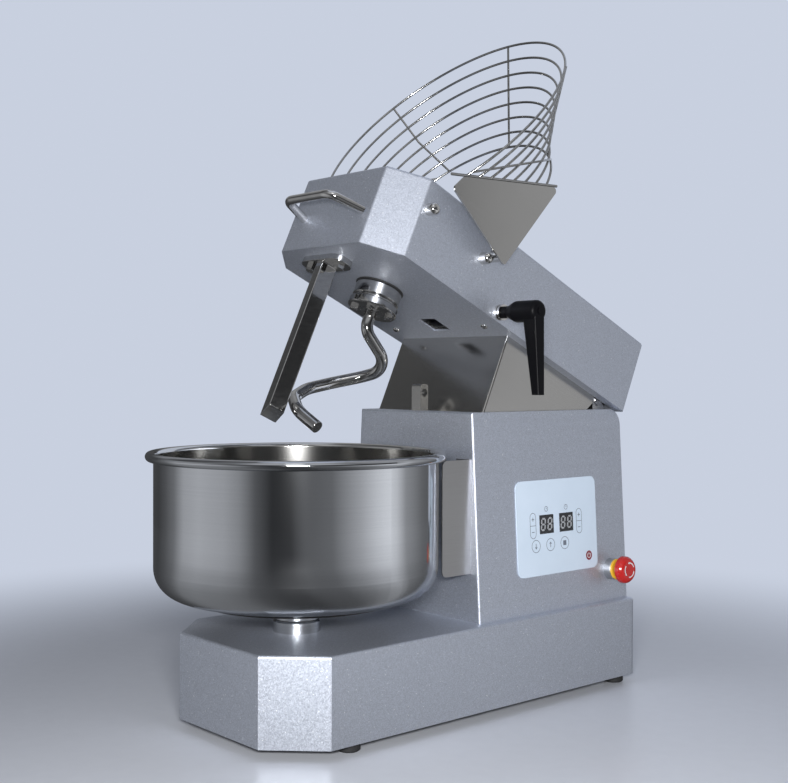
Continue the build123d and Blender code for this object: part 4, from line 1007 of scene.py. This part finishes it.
room_finish, room_tree, room_shader = finish(
    "room_finish", Base_Color=(0.01, 0.01, 0.01, 1), Roughness=0.9, Emission_Strength=1.0
)
lift_from, lift_full = -0.7, 2.4
low_top, high_from = 0.13, 0.25
wall_top, ceiling_from = 0.9, 1.7
room_spot = place(room_tree, "ShaderNodeSeparateXYZ", {0: object_spot(room_tree)}).outputs
frontward = reckon(room_tree, "MULTIPLY", room_spot["Y"], -1.0)
round_share = climb(room_tree, reckon(room_tree, "ARCTAN2", room_spot["X"], frontward), -pi, pi)
ground, low_wall, high_wall, ceiling = [
    tone_ramp(room_tree, round_share, tones) for tones in (ground_tones, low_tones, high_tones, ceiling_tones)
]
room_level = place(room_tree, "ShaderNodeCombineXYZ", {"X": room_spot["X"], "Y": room_spot["Y"]}).outputs[0]
room_reach = reckon_vector(room_tree, "LENGTH", room_level)
ground_to_low = climb(room_tree, room_reach, lift_from, lift_full)
low_to_high = climb(room_tree, room_spot["Z"], low_top, high_from, "SMOOTHSTEP")
high_to_ceiling = climb(room_tree, room_spot["Z"], wall_top, ceiling_from, "SMOOTHSTEP")
lower = tint(room_tree, ground_to_low, ground, low_wall)
upper = tint(room_tree, low_to_high, lower, high_wall)
connect(room_tree, room_shader, {"Emission Color": tint(room_tree, high_to_ceiling, upper, ceiling)})

room_outline = [(0.02, -0.12), (2.6, -0.12), (2.6, 2.6), (0.9, 3.2)]
room_start, room_end, room_open, room_steps = -140, 220, 182, 72
room_mesh = bmesh.new()
room_angles = [room_start + (room_end - room_start) * step / room_steps for step in range(room_steps + 1)]
room_rows = []
for angle in room_angles:
    row = [room_mesh.verts.new(round_object(angle, distance, height)) for distance, height in room_outline]
    room_rows.append(row)
for first, second, angle in zip(room_rows, room_rows[1:], room_angles[1:]):
    for low in range(len(room_outline) - 1 if angle <= room_open else 1):
        room_mesh.faces.new((first[low], second[low], second[low + 1], first[low + 1]))
room = mesh_object("dark_room", room_mesh, room_finish)
room.visible_camera = False
room.visible_diffuse = False
room.visible_shadow = False

# Camera
# At the photograph's place and angle, from the panel side of the front, with the frame's small shift. The
# lens follows from the focal length in pixels of the frame's width.
image_width = 788
focal_pixels = 1215.0
sensor = 36.0
eye = Vector((0.95674, -0.87043, 0.34937))
heading, dip, roll = radians(48.69), radians(-0.87), radians(0.20)
look = Vector((-sin(heading) * cos(dip), cos(heading) * cos(dip), sin(dip)))
camera_data = bpy.data.cameras.new("camera")
camera_data.sensor_width = sensor
camera_data.sensor_fit = "HORIZONTAL"
camera_data.lens = focal_pixels * sensor / image_width
camera_data.shift_x = 0.0145
camera_data.shift_y = 0.0007
camera = bpy.data.objects.new("camera", camera_data)
camera.location = eye
camera.rotation_euler = (look.to_track_quat("-Z", "Y").to_matrix() @ Matrix.Rotation(roll, 3, "Z")).to_euler()
bpy.context.scene.collection.objects.link(camera)
bpy.context.scene.camera = camera
bpy.context.scene.view_settings.view_transform = "Standard"
